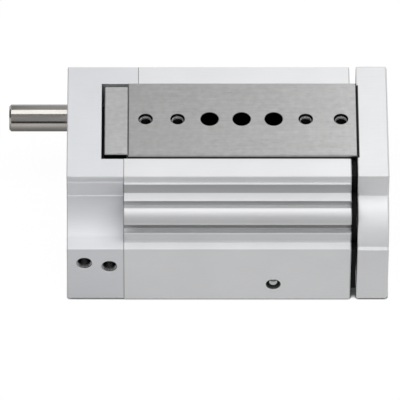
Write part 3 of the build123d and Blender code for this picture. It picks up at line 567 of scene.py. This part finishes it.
# Finish of each material slot of the record.
FINISHES = {
    "housing_aluminium": AnodisedAluminium(
        "anodised_extrusion", (0.822, 0.827, 0.837), 0.5, 0.25, lay=Lay.ALONG_STROKE
    ),
    "cap_aluminium": AnodisedAluminium(
        "anodised_cap", (0.768, 0.778, 0.803), 0.52, 0.25, lay=Lay.ALONG_STROKE, lines=1.1
    ),
    "yoke_aluminium": AnodisedAluminium(
        "anodised_yoke", (0.805, 0.81, 0.82), 0.5, 0.2, lay=Lay.ALONG_STROKE, lines=1.5
    ),
    "bearing_aluminium": AnodisedAluminium("anodised_bearing_cap", (0.45, 0.46, 0.47), 0.40),
    "piston_aluminium": AnodisedAluminium("turned_piston", (0.42, 0.42, 0.43), 0.36, 0.9),
    "table_steel": GroundSteel("ground_table", (0.53, 0.529, 0.527)),
    "end_block_steel": GroundSteel("milled_end_block", (0.63, 0.629, 0.626), 0.36),
    "rail_steel": GroundSteel("ground_rail", (0.44, 0.44, 0.44), 0.36),
    "sleeve_steel": GroundSteel("turned_sleeve", (0.48, 0.48, 0.485), 0.34, lay=Lay.ACROSS),
    "rod_steel": ChromedSteel("chromed_rod", (0.54, 0.516, 0.488)),
    "ball_steel": ChromedSteel("bearing_balls", (0.62, 0.62, 0.63), 0.08),
    "ring_steel": TreatedSteel("phosphated_ring", (0.10, 0.10, 0.105), 0.45),
    "plug_steel": ChromedSteel("plug_ball", (0.55, 0.55, 0.55), 0.12),
    "screw_steel": TreatedSteel("zinc_plated_screws", (0.55, 0.55, 0.54), 0.3),
    "screw_black": TreatedSteel("black_oxide_screws", (0.035, 0.035, 0.037), 0.4),
    "dowel_steel": GroundSteel("ground_dowels", (0.50, 0.50, 0.50), 0.22),
    "bush_bronze": PorousBronze("sintered_bushes", (0.55, 0.38, 0.20)),
    "cage_plastic": SoftOrMoulded("acetal_cage", (0.72, 0.68, 0.58), 0.42),
    # Black plastic, and its near-black colour with little specular also paints the shade of the
    # narrow gap in front of the housing.
    "cover_plastic": SoftOrMoulded("black_cover", (0.003, 0.003, 0.0033), 0.6, specular=0.1),
    "magnet_plastic": SoftOrMoulded("bonded_magnet", (0.05, 0.05, 0.055), 0.6),
    "seal_rubber": SoftOrMoulded("nitrile_seals", (0.018, 0.018, 0.019), 0.48),
    "cushion_rubber": SoftOrMoulded("elastic_cushions", (0.06, 0.055, 0.05), 0.55),
}


# ---- surfaces ----


def grid_piece(
    name: str, points: np.ndarray, material: bpy.types.Material, round_way: bool = False
) -> bpy.types.Object:
    """Make one smooth piece from a grid of points.

    Each cell between two rows and two columns of the grid is one four-sided face. With round_way
    the last column joins the first, which closes a tube.

    Args:
        name: Name of the piece.
        points: Array of rows, columns and three coordinates, in metres.
        material: What it is made of.
        round_way: Whether the columns close into a ring.

    Returns:
        The new object, linked to the scene.
    """
    rows, columns = points.shape[:2]
    number = np.arange(rows * columns).reshape(rows, columns)
    ahead = np.roll(number, -1, axis=1)
    if not round_way:
        number, ahead = number[:, :-1], ahead[:, :-1]
    faces = np.stack((number[:-1], ahead[:-1], ahead[1:], number[1:]), axis=-1).reshape(-1, 4)
    mesh = bpy.data.meshes.new(name)
    mesh.from_pydata(points.reshape(-1, 3).tolist(), [], faces.tolist())
    mesh.polygons.foreach_set("use_smooth", np.ones(len(faces), bool))
    mesh.materials.append(material)
    mesh.update()
    piece = bpy.data.objects.new(name, mesh)
    bpy.context.scene.collection.objects.link(piece)
    return piece


class Facing(Enum):
    """Directions that a hole's mouth can face, as (across, up, outwards) unit vectors."""

    TOP = ((1, 0, 0), (0, 1, 0), (0, 0, 1))
    BELOW = ((1, 0, 0), (0, -1, 0), (0, 0, -1))
    NEAR = ((1, 0, 0), (0, 0, 1), (0, -1, 0))
    FRONT = ((0, 1, 0), (0, 0, 1), (1, 0, 0))

    def reach(self, node: str) -> float:
        """Return how far a CAD node reaches outwards, measured from the origin."""
        return float((np.array(corners(node)) @ np.array(self.value[2], float)).max())

    def place(self, mouth: Iterable[float], local: np.ndarray) -> np.ndarray:
        """Return points given across, up and outwards of a mouth, carried to the model's frame."""
        return np.asarray(mouth) + local @ np.array(self.value, float)


@dataclass(frozen=True)
class ScrewThread:
    """Inner screw thread: a ridge that winds down a round hole."""

    outer: float
    inner: float
    pitch: float
    depth: float
    start: float
    slope: float = 1.7
    groove: float = 0.35
    points_round: int = 48
    rows_per_turn: int = 10

    def surface(self) -> tuple[np.ndarray, np.ndarray]:
        """Return the thread as a grid, and how near each of its points is to the crest.

        A point at angle a and depth d lies at the radius outer - (outer - inner) w, where w goes
        from 0 in the groove to 1 on the crest and back over each pitch. A triangle wave t of
        d / pitch - a / 2 pi moves the ridge on by one pitch a turn, and w is slope t - groove, cut
        off at 0 and 1. The ridge fades in over the first half turn and out over the last.

        Returns:
            Array of rows, columns and three coordinates, with depth down the third, and an array
            of rows and columns that is 0 in the groove and 1 on the crest.
        """
        turns = (self.depth - self.start) / self.pitch
        rows = int(round(turns * self.rows_per_turn))
        angle = np.linspace(0.0, 2.0 * np.pi, self.points_round, endpoint=False)[None, :]
        down = np.linspace(self.start, self.depth, rows)[:, None]
        phase = (down / self.pitch - angle / (2.0 * np.pi)) % 1.0
        wave = np.clip(self.slope * (1.0 - np.abs(2.0 * phase - 1.0)) - self.groove, 0.0, 1.0)
        fade = np.clip((down - self.start) / (0.5 * self.pitch), 0.0, 1.0)
        fade = fade * np.clip((self.depth - down) / (0.5 * self.pitch), 0.0, 1.0)
        crest = wave * fade
        radius = self.outer - (self.outer - self.inner) * crest
        out = np.broadcast_to(-down, radius.shape)
        return np.stack((radius * np.cos(angle), radius * np.sin(angle), out), axis=-1), crest


M8_THREAD = ScrewThread(outer=0.00398, inner=0.00336, pitch=0.00125, depth=0.0110, start=0.0006)
PORT_THREAD = ScrewThread(outer=0.00483, inner=0.00428, pitch=0.000907, depth=0.0120, start=0.00045)


# ---- sub-assemblies ----


@dataclass(frozen=True)
class HoleRow:
    """Equal holes of one mount of the record, all facing the same way."""

    mouths: tuple[Triple, ...]
    radius: float
    facing: Facing

    @classmethod
    def of_mount(cls, record: dict, name: str, facing: Facing, node: str) -> HoleRow:
        """Read the holes of a mount and carry their mouths out to the face they open in.

        A pattern's holes stand at half its spacings to both sides of its middle.

        Args:
            record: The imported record.
            name: Mount.
            facing: Which way its holes open.
            node: CAD node that they are in.

        Returns:
            The row of holes.
        """
        mount = next(mount for mount in record["mounts"] if mount["name"] == name)
        sizes = mount["dims"]
        across, up, out = np.array(facing.value, float)
        middle = np.array(mount["pos_m"], float)
        middle = middle + out * (facing.reach(node) - middle @ out)
        rights = [side * sizes.get("spacing_x_mm", 0.0) / 2000.0 for side in (-1, 1)]
        rises = [side * sizes.get("spacing_y_mm", 0.0) / 2000.0 for side in (-1, 1)]
        mouths = {tuple(np.round(middle + across * a + up * b, 7)) for a in rights for b in rises}
        radius = sizes.get("hole_r_mm", sizes.get("r_mm")) / 1000.0
        return cls(tuple(sorted(mouths)), radius, facing)

    def singles(self) -> list[HoleRow]:
        """Return a row of its own for each hole."""
        return [HoleRow((mouth,), self.radius, self.facing) for mouth in self.mouths]

    def recess(self, start: float, end: float, shade: float, feather: float = 0.0006) -> PaintedShade:
        """Return a box of painted shade down all of the row's holes, which reaches half a radius
        beside them.

        Args:
            start: Depth under the mouths where the painted shade begins.
            end: Depth where it ends.
            shade: Share of the colour that is left.
            feather: Distance over which the dark comes in.

        Returns:
            The box of painted shade.
        """
        _, _, out = np.array(self.facing.value, float)
        beside = (1.0 - np.abs(out)) * self.radius * 1.5
        mouths = np.array(self.mouths)
        ends = np.concatenate((mouths - out * start, mouths - out * end))
        return PaintedShade(ends.min(axis=0) - beside, ends.max(axis=0) + beside, shade, feather)


@dataclass
class TappedHoles:
    """Screw threads of one size, wound down a row of holes."""

    name: str
    body: str
    slot: str
    row: HoleRow
    thread: ScrewThread = M8_THREAD

    def build(self, material: bpy.types.Material) -> None:
        """Make one thread in each hole.

        Args:
            material: Finish of the thread.
        """
        local, crest = self.thread.surface()
        for count, mouth in enumerate(self.row.mouths, 1):
            points = self.row.facing.place(mouth, local)
            piece = grid_piece(f"{self.name}_{count}", points, material, round_way=True)
            share = piece.data.attributes.new(CREST, "FLOAT", "POINT")
            share.data.foreach_set("value", crest.ravel())
            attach(piece, self.body)
            LOG.info("%s in %s, on %s", piece.name, self.slot, self.body)


@dataclass
class SubAssembly:
    """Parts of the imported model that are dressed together, with the threads cut in them."""

    frame: dict
    parts: tuple[str, ...] = ()

    def recesses(self) -> PaintedShades:
        """Return the boxes of painted shade of each material slot."""
        return {}

    def threads(self) -> list[TappedHoles]:
        """Return the threads of the sub-assembly's open holes."""
        return []

    def build(self) -> None:
        """Put the finishes, with their painted shade, on the parts and make the threads."""
        made = {}
        dark = self.recesses()
        for part in self.frame["record"]["subparts"]:
            if part["node"] in self.parts:
                slot = part["material_slot"]
                if slot not in made:
                    made[slot] = FINISHES[slot].material(dark.get(slot, []))
                node = self.frame["nodes"][part["node"]]
                node.data.materials.clear()
                node.data.materials.append(made[slot])
                LOG.info("dressed %s in %s", part["node"], slot)
        for holes in self.threads():
            holes.build(CutThread(f"{holes.name}_metal").material(dark.get(holes.slot, [])))


def joint_groove_shades() -> list[PaintedShade]:
    """Return the painted shade in the fine groove where the broken edges of cap and housing meet.

    The cap's far arm lies above the guide's floor and ends further forward than the rest of it.

    Returns:
        The near part, the part under the arm, the step below the arm and the end of the arm.
    """
    edge, far_step = 0.00025, 0.009
    (x, y0, z0), (_, y1, z1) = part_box("housing")
    (_, _, floor), (_, arm, _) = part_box("guide_rail_far")
    lines = (
        ((x, y0, z0), (x, arm, z1)),
        ((x, arm, z0), (x, y1, floor)),
        ((x, y1, floor), (x + far_step, y1, floor)),
        ((x + far_step, arm, floor), (x + far_step, y1, z1)),
    )
    return [
        PaintedShade(np.array(low) - edge, np.array(high) + edge, shade=0.3, feather=0.5 * edge)
        for low, high in lines
    ]


def edge_shade_line(
    node: str, axis: int, side: int, width: float = 0.0006, shade: float = 0.65
) -> PaintedShade:
    """Return a fine line of painted shade along a broken edge of a part, beside a wall that stays
    clear.

    Args:
        node: CAD node.
        axis: Axis that the wall stands across, 0 for X and 1 for Y.
        side: 1 for the wall at the high end of that axis, -1 for the low end.
        width: Width of the line.
        shade: Share of the colour that is left.

    Returns:
        The box of painted shade.
    """
    low, high = corners(node)
    clear = 0.0001
    wall = high[axis] if side > 0 else low[axis]
    low, high = low - width, high + width
    low[axis], high[axis] = sorted((wall - side * width, wall - side * clear))
    return PaintedShade(low, high, shade, feather=clear)


def yoke_seam_shade() -> PaintedShade:
    """Paint shade into the seam where the broken edges of table and yoke meet.

    Returns:
        The box of painted shade.
    """
    edge = 0.0008
    (_, y0, z0), (x, y1, z1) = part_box("table")
    low, high = (x - 0.8 * edge, y0, z0), (x + 1.5 * edge, y1, z1 + edge)
    return PaintedShade(low, high, shade=0.01, feather=0.1 * edge)


@dataclass
class Housing(SubAssembly):
    """Extruded housing with its sensor slots, its plug and the tapped holes of its base.

    A step of step_height stands step_wall beside the shoulder slot, a round of round_height lies
    over the side slot, and the wall below the side slot is lower_wall high. These lengths and the
    others place the boxes of the housing's painted shade.
    """

    parts: tuple[str, ...] = ("housing", "bore_plug", "front_cover", "cover_screws")
    past_end: float = 0.002
    open_strip: float = 0.0002
    slot_widening: float = 0.0012
    step_wall: float = 0.0069
    step_height: float = 0.0081
    step_skin: float = 0.001
    lower_wall: float = 0.0073
    lower_skin: float = 0.0008
    round_start: float = 0.002
    round_height: float = 0.0115
    round_depth: float = 0.012
    round_margin: float = 0.006
    plug_gap: float = 0.001
    plug_rim: float = 0.00003
    plug_depth: float = 0.0028

    def base_holes(self) -> HoleRow:
        """Return the tapped holes of the base."""
        return HoleRow.of_mount(self.frame["record"], "base_threads", Facing.BELOW, "housing")

    def shoulder(self) -> list[PaintedShade]:
        """Paint shade into the upper sensor slot and onto the wall of the step over it.

        Returns:
            Slot and wall.
        """
        (x0, y0, z0), (x1, y1, z1) = self.openings()["shoulder_sensor_slot"]
        x0, x1 = x0 - self.past_end, x1 + self.past_end
        wide, skin = self.slot_widening, self.step_skin
        wall, deck = y1 + self.step_wall, z1 + self.step_height
        slot_high = (x1, y1 + wide, z1 - self.open_strip)
        step_low = (x0, wall - skin, z1 + self.open_strip)
        step_high = (x1, wall + skin, deck - self.open_strip)
        return [
            PaintedShade((x0, y0 - wide, z0 - wide), slot_high, shade=0.66),
            PaintedShade(step_low, step_high, shade=0.62, feather=0.0004),
        ]

    def near_wall(self) -> list[PaintedShade]:
        """Paint shade into the lower sensor slot and onto what lies round it.

        Returns:
            Slot, wall below it and rounded shoulder over it.
        """
        (x0, y0, z0), (x1, y1, z1) = self.openings()["side_sensor_slot"]
        past, wide = self.past_end, self.slot_widening
        skin, margin = self.lower_skin, self.round_margin
        slot_low = (x0 - past, y0 + self.open_strip, z0 - wide)
        below_low = (x0 - past, y0 - skin, z0 - self.lower_wall)
        round_low = (x0 - margin, y0 - margin, z1 - self.round_start)
        round_high = (x1 + margin, y0 + self.round_depth, z1 + self.round_height)
        return [
            PaintedShade(slot_low, (x1 + past, y1 + wide, z1 + wide), shade=0.58),
            PaintedShade(below_low, (x1 + past, y0 + skin, z0 - wide), shade=0.88, feather=0.0004),
            PaintedShade(round_low, round_high, shade=0.8, feather=0.005),
        ]

    def plug_bore(self) -> list[PaintedShade]:
        """Paint shade into the cross bore.

        Returns:
            The painted shade of the bore in the housing, and the depth past which it is painted on
            the plug.
        """
        low, high = corners("bore_plug")
        low, high = low - self.plug_gap, high + self.plug_gap
        face = -Facing.NEAR.reach("housing")
        bore_low, plug_low = ((low[0], face + y, low[2]) for y in (self.plug_rim, self.plug_depth))
        return [
            PaintedShade(bore_low, high, shade=0.10, feather=0.0001),
            PaintedShade(plug_low, high, shade=0.06, feather=0.0004),
        ]

    def openings(self) -> dict[str, list]:
        """Return the boxes of the record's openings by their names."""
        return {room["name"]: room["box_m"] for room in self.frame["record"]["physics"]["openings"]}

    def recesses(self) -> PaintedShades:
        """Gather the boxes of painted shade.

        Returns:
            Those of the housing and of its plug.
        """
        bore, plug = self.plug_bore()
        return {
            "housing_aluminium": [
                *self.shoulder(),
                *self.near_wall(),
                self.base_holes().recess(start=0.010, end=0.016, shade=0.2),
                bore,
                edge_shade_line("housing", 1, 1),
                edge_shade_line("housing", 0, 1),
                *joint_groove_shades(),
            ],
            "plug_steel": [plug],
        }

    def threads(self) -> list[TappedHoles]:
        """Return the threads of the base."""
        return [TappedHoles("base_thread", "fixed_body", "housing_aluminium", self.base_holes())]


@dataclass
class RearCap(SubAssembly):
    """Rear cap with its screws, the notch for the table's end block and the two air ports."""

    parts: tuple[str, ...] = ("rear_cap", "cap_screws", "spigot_seal", "clamping_rod_wiper")
    # Lengths that place the painted shade of the notch.
    notch_gap: float = 0.003
    open_strip: float = 0.0002
    slit_margin: Pair = (0.0003, 0.0005)

    def ports(self) -> list[HoleRow]:
        """Return the two air ports."""
        record, names = self.frame["record"], ("rear_port", "front_port")
        return [HoleRow.of_mount(record, name, Facing.NEAR, "rear_cap") for name in names]

    def notch(self) -> list[PaintedShade]:
        """Paint shade into the gap round the table's end block.

        Returns:
            The slit behind the block, down to the guide's floor, and the notch.
        """
        low, high = corners("table_end_block")
        gap = np.array([self.notch_gap, self.notch_gap, 0.0])
        low, high = low - gap, high + gap
        high[2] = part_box("rear_cap")[1][2] - self.open_strip
        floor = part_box("guide_rail_far")[0][2]
        ahead, down = self.slit_margin
        slit_low = (low[0], low[1], floor - down)
        slit_high = (low[0] + self.notch_gap + ahead, high[1], high[2])
        return [
            PaintedShade(slit_low, slit_high, shade=0.05, feather=0.0002),
            PaintedShade(low, high, shade=0.05, feather=0.0002),
        ]

    def recesses(self) -> PaintedShades:
        """Gather the boxes of painted shade.

        Returns:
            The joint, the notch, two edge lines and the depths of the ports.
        """
        depths = [
            port.recess(start=0.0003, end=0.030, shade=0.01, feather=0.0036)
            for port in self.ports()
        ]
        lines = [edge_shade_line("rear_cap", 1, 1, shade=0.8), edge_shade_line("rear_cap", 0, -1)]
        return {"cap_aluminium": [*joint_groove_shades(), *self.notch(), *lines, *depths]}

    def threads(self) -> list[TappedHoles]:
        """List the threads of the ports.

        Returns:
            One row for each port.
        """
        return [
            TappedHoles(f"port_{count}_thread", "fixed_body", "cap_aluminium", row, PORT_THREAD)
            for count, row in enumerate(self.ports(), 1)
        ]


@dataclass
class Table(SubAssembly):
    """Ground table with its end block, its screws and its holes."""

    parts: tuple[str, ...] = ("table", "table_end_block", "end_block_screws")
    # Lengths that place the painted shade of the holes, the flank and the end block.
    mouth: float = 0.0011
    margin: float = 0.001
    wall_skin: float = 0.0001
    deck_strip: float = 0.0002
    flank_rise: float = 0.0008
    top_strip: float = 0.0004

    def rows(self, *names: str) -> list[HoleRow]:
        """Return the row of holes of each named mount on the table's top."""
        return [HoleRow.of_mount(self.frame["record"], name, Facing.TOP, "table") for name in names]

    def holes(self) -> list[PaintedShade]:
        """Paint shade into the holes.

        Returns:
            The centring bores, and mouth and depth of each tapped hole.
        """
        centring = self.rows("table_centring_rear", "table_centring_middle", "table_centring_front")
        dark = [row.recess(start=0.0006, end=0.030, shade=0.02) for row in centring]
        for row in self.rows("table_threads_outer", "table_threads_inner"):
            for hole in row.singles():
                dark.append(hole.recess(start=0.00003, end=self.mouth, shade=0.01, feather=0.0001))
                dark.append(hole.recess(start=0.0023, end=0.030, shade=0.01, feather=0.0018))
        return dark

    def flank(self) -> PaintedShade:
        """Paint shade onto the foot of the table's near flank, beside the deck.

        Returns:
            The box of painted shade.
        """
        (x0, y0, z0), (x1, _, _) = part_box("table")
        high = (x1, y0 + self.wall_skin, self.deck() + self.flank_rise)
        return PaintedShade((x0, y0 - self.margin, z0), high, shade=0.25, feather=0.0001)

    def end_block(self) -> list[PaintedShade]:
        """Paint shade onto the end block.

        Returns:
            What is below the deck, its near wall and two edge lines.
        """
        (x0, y0, z0), (x1, y1, z1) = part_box("table_end_block")
        low = (x0 - self.margin, y0 - self.margin, z0)
        below = (x1 - self.margin, y1 + self.margin, self.deck() + self.deck_strip)
        near = (x1 - self.margin, y0 + self.wall_skin, z1 - self.top_strip)
        return [
            PaintedShade(low, below, shade=0.1, feather=0.0002),
            PaintedShade(low, near, shade=0.55, feather=0.0002),
            edge_shade_line("table_end_block", 0, -1, width=0.0004, shade=0.3),
            edge_shade_line("table_end_block", 1, 1, width=0.0009, shade=0.12),
        ]

    def deck(self) -> float:
        """Return the height of the housing's deck."""
        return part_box("housing")[1][2]

    def recesses(self) -> PaintedShades:
        """Return the boxes of painted shade of the table and of its end block."""
        table = [*self.holes(), yoke_seam_shade(), self.flank()]
        return {"table_steel": table, "end_block_steel": self.end_block()}

    def threads(self) -> list[TappedHoles]:
        """List the threads of the table's four holes.

        Returns:
            The outer and the inner pair.
        """
        outer, inner = self.rows("table_threads_outer", "table_threads_inner")
        return [
            TappedHoles("outer_table_thread", "moving_table", "table_steel", outer),
            TappedHoles("inner_table_thread", "moving_table", "table_steel", inner),
        ]


@dataclass
class Yoke(SubAssembly):
    """Front plate with its screws, dowels and the tapped holes of its face."""

    parts: tuple[str, ...] = ("yoke_plate", "yoke_screws", "yoke_dowels", "rod_screws")

    def face_holes(self) -> HoleRow:
        """Return the tapped holes of the front face."""
        return HoleRow.of_mount(self.frame["record"], "yoke_threads", Facing.FRONT, "yoke_plate")

    def recesses(self) -> PaintedShades:
        """Gather the boxes of painted shade.

        Returns:
            The seam at the table, an edge line and the depths of the tapped holes.
        """
        depths = [
            hole.recess(start=0.0006, end=0.018, shade=0.10, feather=0.0080)
            for hole in self.face_holes().singles()
        ]
        line = edge_shade_line("yoke_plate", 1, 1, shade=0.75)
        return {"yoke_aluminium": [yoke_seam_shade(), line, *depths]}

    def threads(self) -> list[TappedHoles]:
        """Return the threads of the front face."""
        return [TappedHoles("face_thread", "moving_table", "yoke_aluminium", self.face_holes())]


@dataclass
class Guide(SubAssembly):
    """Rails, cages and balls between the table and the housing."""

    parts: tuple[str, ...] = (
        "guide_rail_near", "ball_cage_near", "guide_balls_near",
        "guide_rail_far", "ball_cage_far", "guide_balls_far",
    )


@dataclass
class Cylinder(SubAssembly):
    """Piston, its rod, seals and magnet, and the bearing that closes the bore."""

    parts: tuple[str, ...] = (
        "piston", "piston_rod", "piston_seals", "piston_magnet", "rear_cushion", "front_cushion",
        "bearing_cap", "bearing_cap_seal", "rod_bush", "rod_seal", "retaining_ring",
    )


@dataclass
class ClampingRod(SubAssembly):
    """Round rod whose tail stands out behind the cap, with its sleeve and bush."""

    parts: tuple[str, ...] = ("clamping_rod", "clamping_sleeve", "clamping_rod_bush")


@dataclass(frozen=True)
class SoftBox:
    """Rectangular light that looks at the object.

    It stands at the bearing, in degrees from straight up towards the camera's side, at the given
    reach, moved along the stroke by across. Its size is the width along X and the height. A
    mirrored box shows only in reflections, the others only give light.
    """

    name: str
    bearing: float
    reach: float
    size: Pair
    radiance: float
    across: float = 0.0
    mirrored: bool = True

    def hang(self) -> None:
        """Hang the light, with a power of radiance times pi times its area."""
        lamp = bpy.data.lights.new(self.name, "AREA")
        lamp.shape = "RECTANGLE"
        lamp.size, lamp.size_y = self.size
        lamp.energy = self.radiance * math.pi * self.size[0] * self.size[1]
        light = bpy.data.objects.new(self.name, lamp)
        turn = math.radians(self.bearing)
        light.location = (self.across, -self.reach * math.sin(turn), self.reach * math.cos(turn))
        light.rotation_euler = (turn, 0.0, 0.0)
        light.visible_camera = False
        light.visible_glossy = self.mirrored
        light.visible_diffuse = not self.mirrored
        bpy.context.scene.collection.objects.link(light)


SOFT_BOXES = (
    SoftBox("overhead_key", 7.0, 1.8, (3.6, 0.85), 2.8, mirrored=False),
    SoftBox("front_fill", 35.0, 1.8, (3.6, 0.75), 1.35, mirrored=False),
    SoftBox("overhead_strip", -12.0, 1.6, (2.6, 1.1), 1.6, across=0.15),
    SoftBox("rear_panel", -58.0, 1.3, (2.0, 1.5), 0.4, across=0.85),
    SoftBox("side_panel", -45.0, 0.8, (0.6, 0.5), 2.2, across=0.5),
    SoftBox("front_glow", 45.0, 2.0, (2.4, 1.6), 0.55),
)


@dataclass
class Studio:
    """White floor, soft boxes and cards round the object, and the camera.

    Each painted contact shadow of the floor has its distance and the range of openness over which
    it goes from contact_glow's first value to its second. The bounce floor's glow goes between
    bounce's two values over the two distances of shade_reach from shade_middle, the middle of its
    painted shadow. The grey card stands at a bearing like the soft boxes.
    """

    floor_size: float = 9.0
    elevation: float = 48.0
    distance: float = 4.5
    lens: float = 648.8
    aim: Triple = (-0.0286, -0.0255, 0.0549)
    shift: float = 0.0925
    room_light: float = 0.12
    contact: tuple[tuple[float, Pair], ...] = (
        (0.0016, (0.5, 0.95)),
        (0.010, (0.28, 0.56)),
    )
    contact_glow: Pair = (0.03, 0.98)
    bounce: Pair = (0.19, 0.64)
    bounce_drop: float = 0.0005
    shade_middle: Triple = (-0.115, 0.07, 0.0)
    shade_reach: Pair = (0.04, 0.16)
    black_corner: Triple = (-1.5, -2.0, 0.20)
    black_size: Pair = (3.0, 0.30)
    black_glow: float = 0.005
    card_bearing: float = 42.0
    card_half_angle: float = 26.0
    card_reach: float = 0.25
    card_margin: float = 0.02
    card_glow: float = 0.36

    def sheet(self, name: str, height: float) -> tuple[NodeSheet, bpy.types.Node, bpy.types.Object]:
        """Lay a pale sheet that glows, so that no hard shadow falls on it.

        Args:
            name: Name of the sheet.
            height: Its height.

        Returns:
            Its node tree, its shader and the sheet, which isn't part of the object.
        """
        sheet = NodeSheet(name)
        cloud = sheet.noise(sheet.place, 3.0, 2.0)
        colour = sheet.mix(cloud, (0.05, 0.05, 0.05, 1.0), (0.06, 0.06, 0.06, 1.0))
        shader = sheet.add("BsdfPrincipled", Base_Color=colour, Roughness=1.0)
        shader.inputs["Specular IOR Level"].default_value = 0.0
        shader.inputs["Emission Color"].default_value = (1.0, 1.0, 1.0, 1.0)
        sheet.put(sheet.output.inputs["Surface"], shader.outputs["BSDF"])
        across = np.linspace(-0.5, 0.5, 3) * self.floor_size
        x, y = np.meshgrid(across, across, indexing="xy")
        floor = grid_piece(name, np.stack((x, y, np.full_like(x, height)), axis=-1), sheet.material)
        return sheet, shader, floor

    def floor(self) -> None:
        """Lay the white floor, and just under it the dimmer one that the metal reflects.

        The white floor glows evenly, with a painted contact shadow only right beside the object and
        in narrow gaps. The dimmer one falls off towards a painted shadow under the tail of the
        clamping rod, where the object's own shade would fall.
        """
        sheet, shader, white = self.sheet("studio_floor", 0.0)
        shades = []
        # Painted contact shadow: the floor's glow is cut where ambient occlusion finds the object
        # close.
        for distance, openness in self.contact:
            near = sheet.add("AmbientOcclusion", Distance=distance)
            shades.append(sheet.spread(near.outputs["AO"], openness, self.contact_glow))
        sheet.put(shader.inputs["Emission Strength"], sheet.maths("MULTIPLY", *shades))
        white.visible_glossy = False
        white.visible_diffuse = False
        white.visible_shadow = False
        sheet, shader, dim = self.sheet("bounce_floor", -self.bounce_drop)
        away = sheet.add("VectorMath")
        away.operation = "DISTANCE"
        sheet.put(away.inputs[0], sheet.place)
        away.inputs[1].default_value = self.shade_middle
        # Painted shadow: the glow falls off towards shade_middle.
        glow = sheet.spread(away.outputs["Value"], self.shade_reach, self.bounce)
        sheet.put(shader.inputs["Emission Strength"], glow)
        dim.visible_camera = False

    def lights(self) -> None:
        """Hang the soft boxes and set the even light of the room."""
        world = bpy.data.worlds.new("studio")
        world.use_nodes = True
        background = world.node_tree.nodes["Background"]
        background.inputs["Color"].default_value = (0.98, 0.99, 1.0, 1.0)
        background.inputs["Strength"].default_value = self.room_light
        bpy.context.scene.world = world
        for box in SOFT_BOXES:
            box.hang()

    def card(
        self, name: str, corner: np.ndarray, right: np.ndarray, rise: np.ndarray, glow: float
    ) -> None:
        """Stand a card that only mirror reflections see, and that isn't part of the object.

        Its points are corner + a right + b rise, with a and b from 0 to 1.

        Args:
            name: Name of the card.
            corner: One corner.
            right: Its first side.
            rise: Its second side.
            glow: Its own radiance.
        """
        sheet = NodeSheet(name)
        weave = sheet.noise(sheet.place, 8.0, 2.0)
        colour = sheet.mix(weave, (0.9, 0.9, 0.9, 1.0), (1.0, 1.0, 1.0, 1.0))
        shader = sheet.add("Emission", Color=colour, Strength=glow)
        sheet.put(sheet.output.inputs["Surface"], shader.outputs["Emission"])
        a, b = np.meshgrid(np.linspace(0.0, 1.0, 3), np.linspace(0.0, 1.0, 3), indexing="xy")
        card = grid_piece(name, corner + a[..., None] * right + b[..., None] * rise, sheet.material)
        card.visible_camera = False
        card.visible_diffuse = False
        card.visible_shadow = False

    def cards(self) -> None:
        """Stand a black card low in front, which draws the dark line along the clamping rod.

        A smaller grey one stands over the rod's tail and keeps the front light out of it.
        """
        ahead = np.array([self.black_size[0], 0.0, 0.0])
        upright = np.array([0.0, 0.0, self.black_size[1]])
        self.card("black_card", np.array(self.black_corner), ahead, upright, self.black_glow)
        low, high = corners("clamping_rod")
        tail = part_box("rear_cap")[0][0]
        turn = math.radians(self.card_bearing)
        away = np.array([0.0, -math.sin(turn), math.cos(turn)])
        slope = np.array([0.0, -math.cos(turn), -math.sin(turn)])
        middle = 0.5 * (low + high) + self.card_reach * away
        half = self.card_reach * math.tan(math.radians(self.card_half_angle))
        corner = np.array([low[0] - self.card_margin, middle[1], middle[2]]) - half * slope
        right = np.array([tail - low[0] + self.card_margin, 0.0, 0.0])
        self.card("grey_card", corner, right, 2.0 * half * slope, self.card_glow)

    def camera(self) -> None:
        """Stand the camera in front of and above the object."""
        data = bpy.data.cameras.new("camera")
        data.sensor_width = 36.0
        data.lens = self.lens
        data.shift_x = self.shift
        data.clip_end = 50.0
        camera = bpy.data.objects.new("camera", data)
        tilt = math.radians(self.elevation)
        x, y, z = self.aim
        back, up = self.distance * math.cos(tilt), self.distance * math.sin(tilt)
        camera.location = (x, y - back, z + up)
        camera.rotation_euler = (math.pi / 2.0 - tilt, 0.0, 0.0)
        bpy.context.scene.collection.objects.link(camera)
        bpy.context.scene.camera = camera


def main() -> None:
    """Load the frame and build every class in order."""
    logging.basicConfig(level=logging.INFO, format="%(name)s: %(message)s")
    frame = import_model()
    studio = Studio()
    studio.camera()
    studio.floor()
    studio.lights()
    studio.cards()
    bpy.context.scene.view_settings.view_transform = "Standard"
    for assembly in (Housing, RearCap, Table, Yoke, Guide, Cylinder, ClampingRod):
        LOG.info("building %s", assembly.__name__)
        assembly(frame).build()


if __name__ == "__main__":
    main()
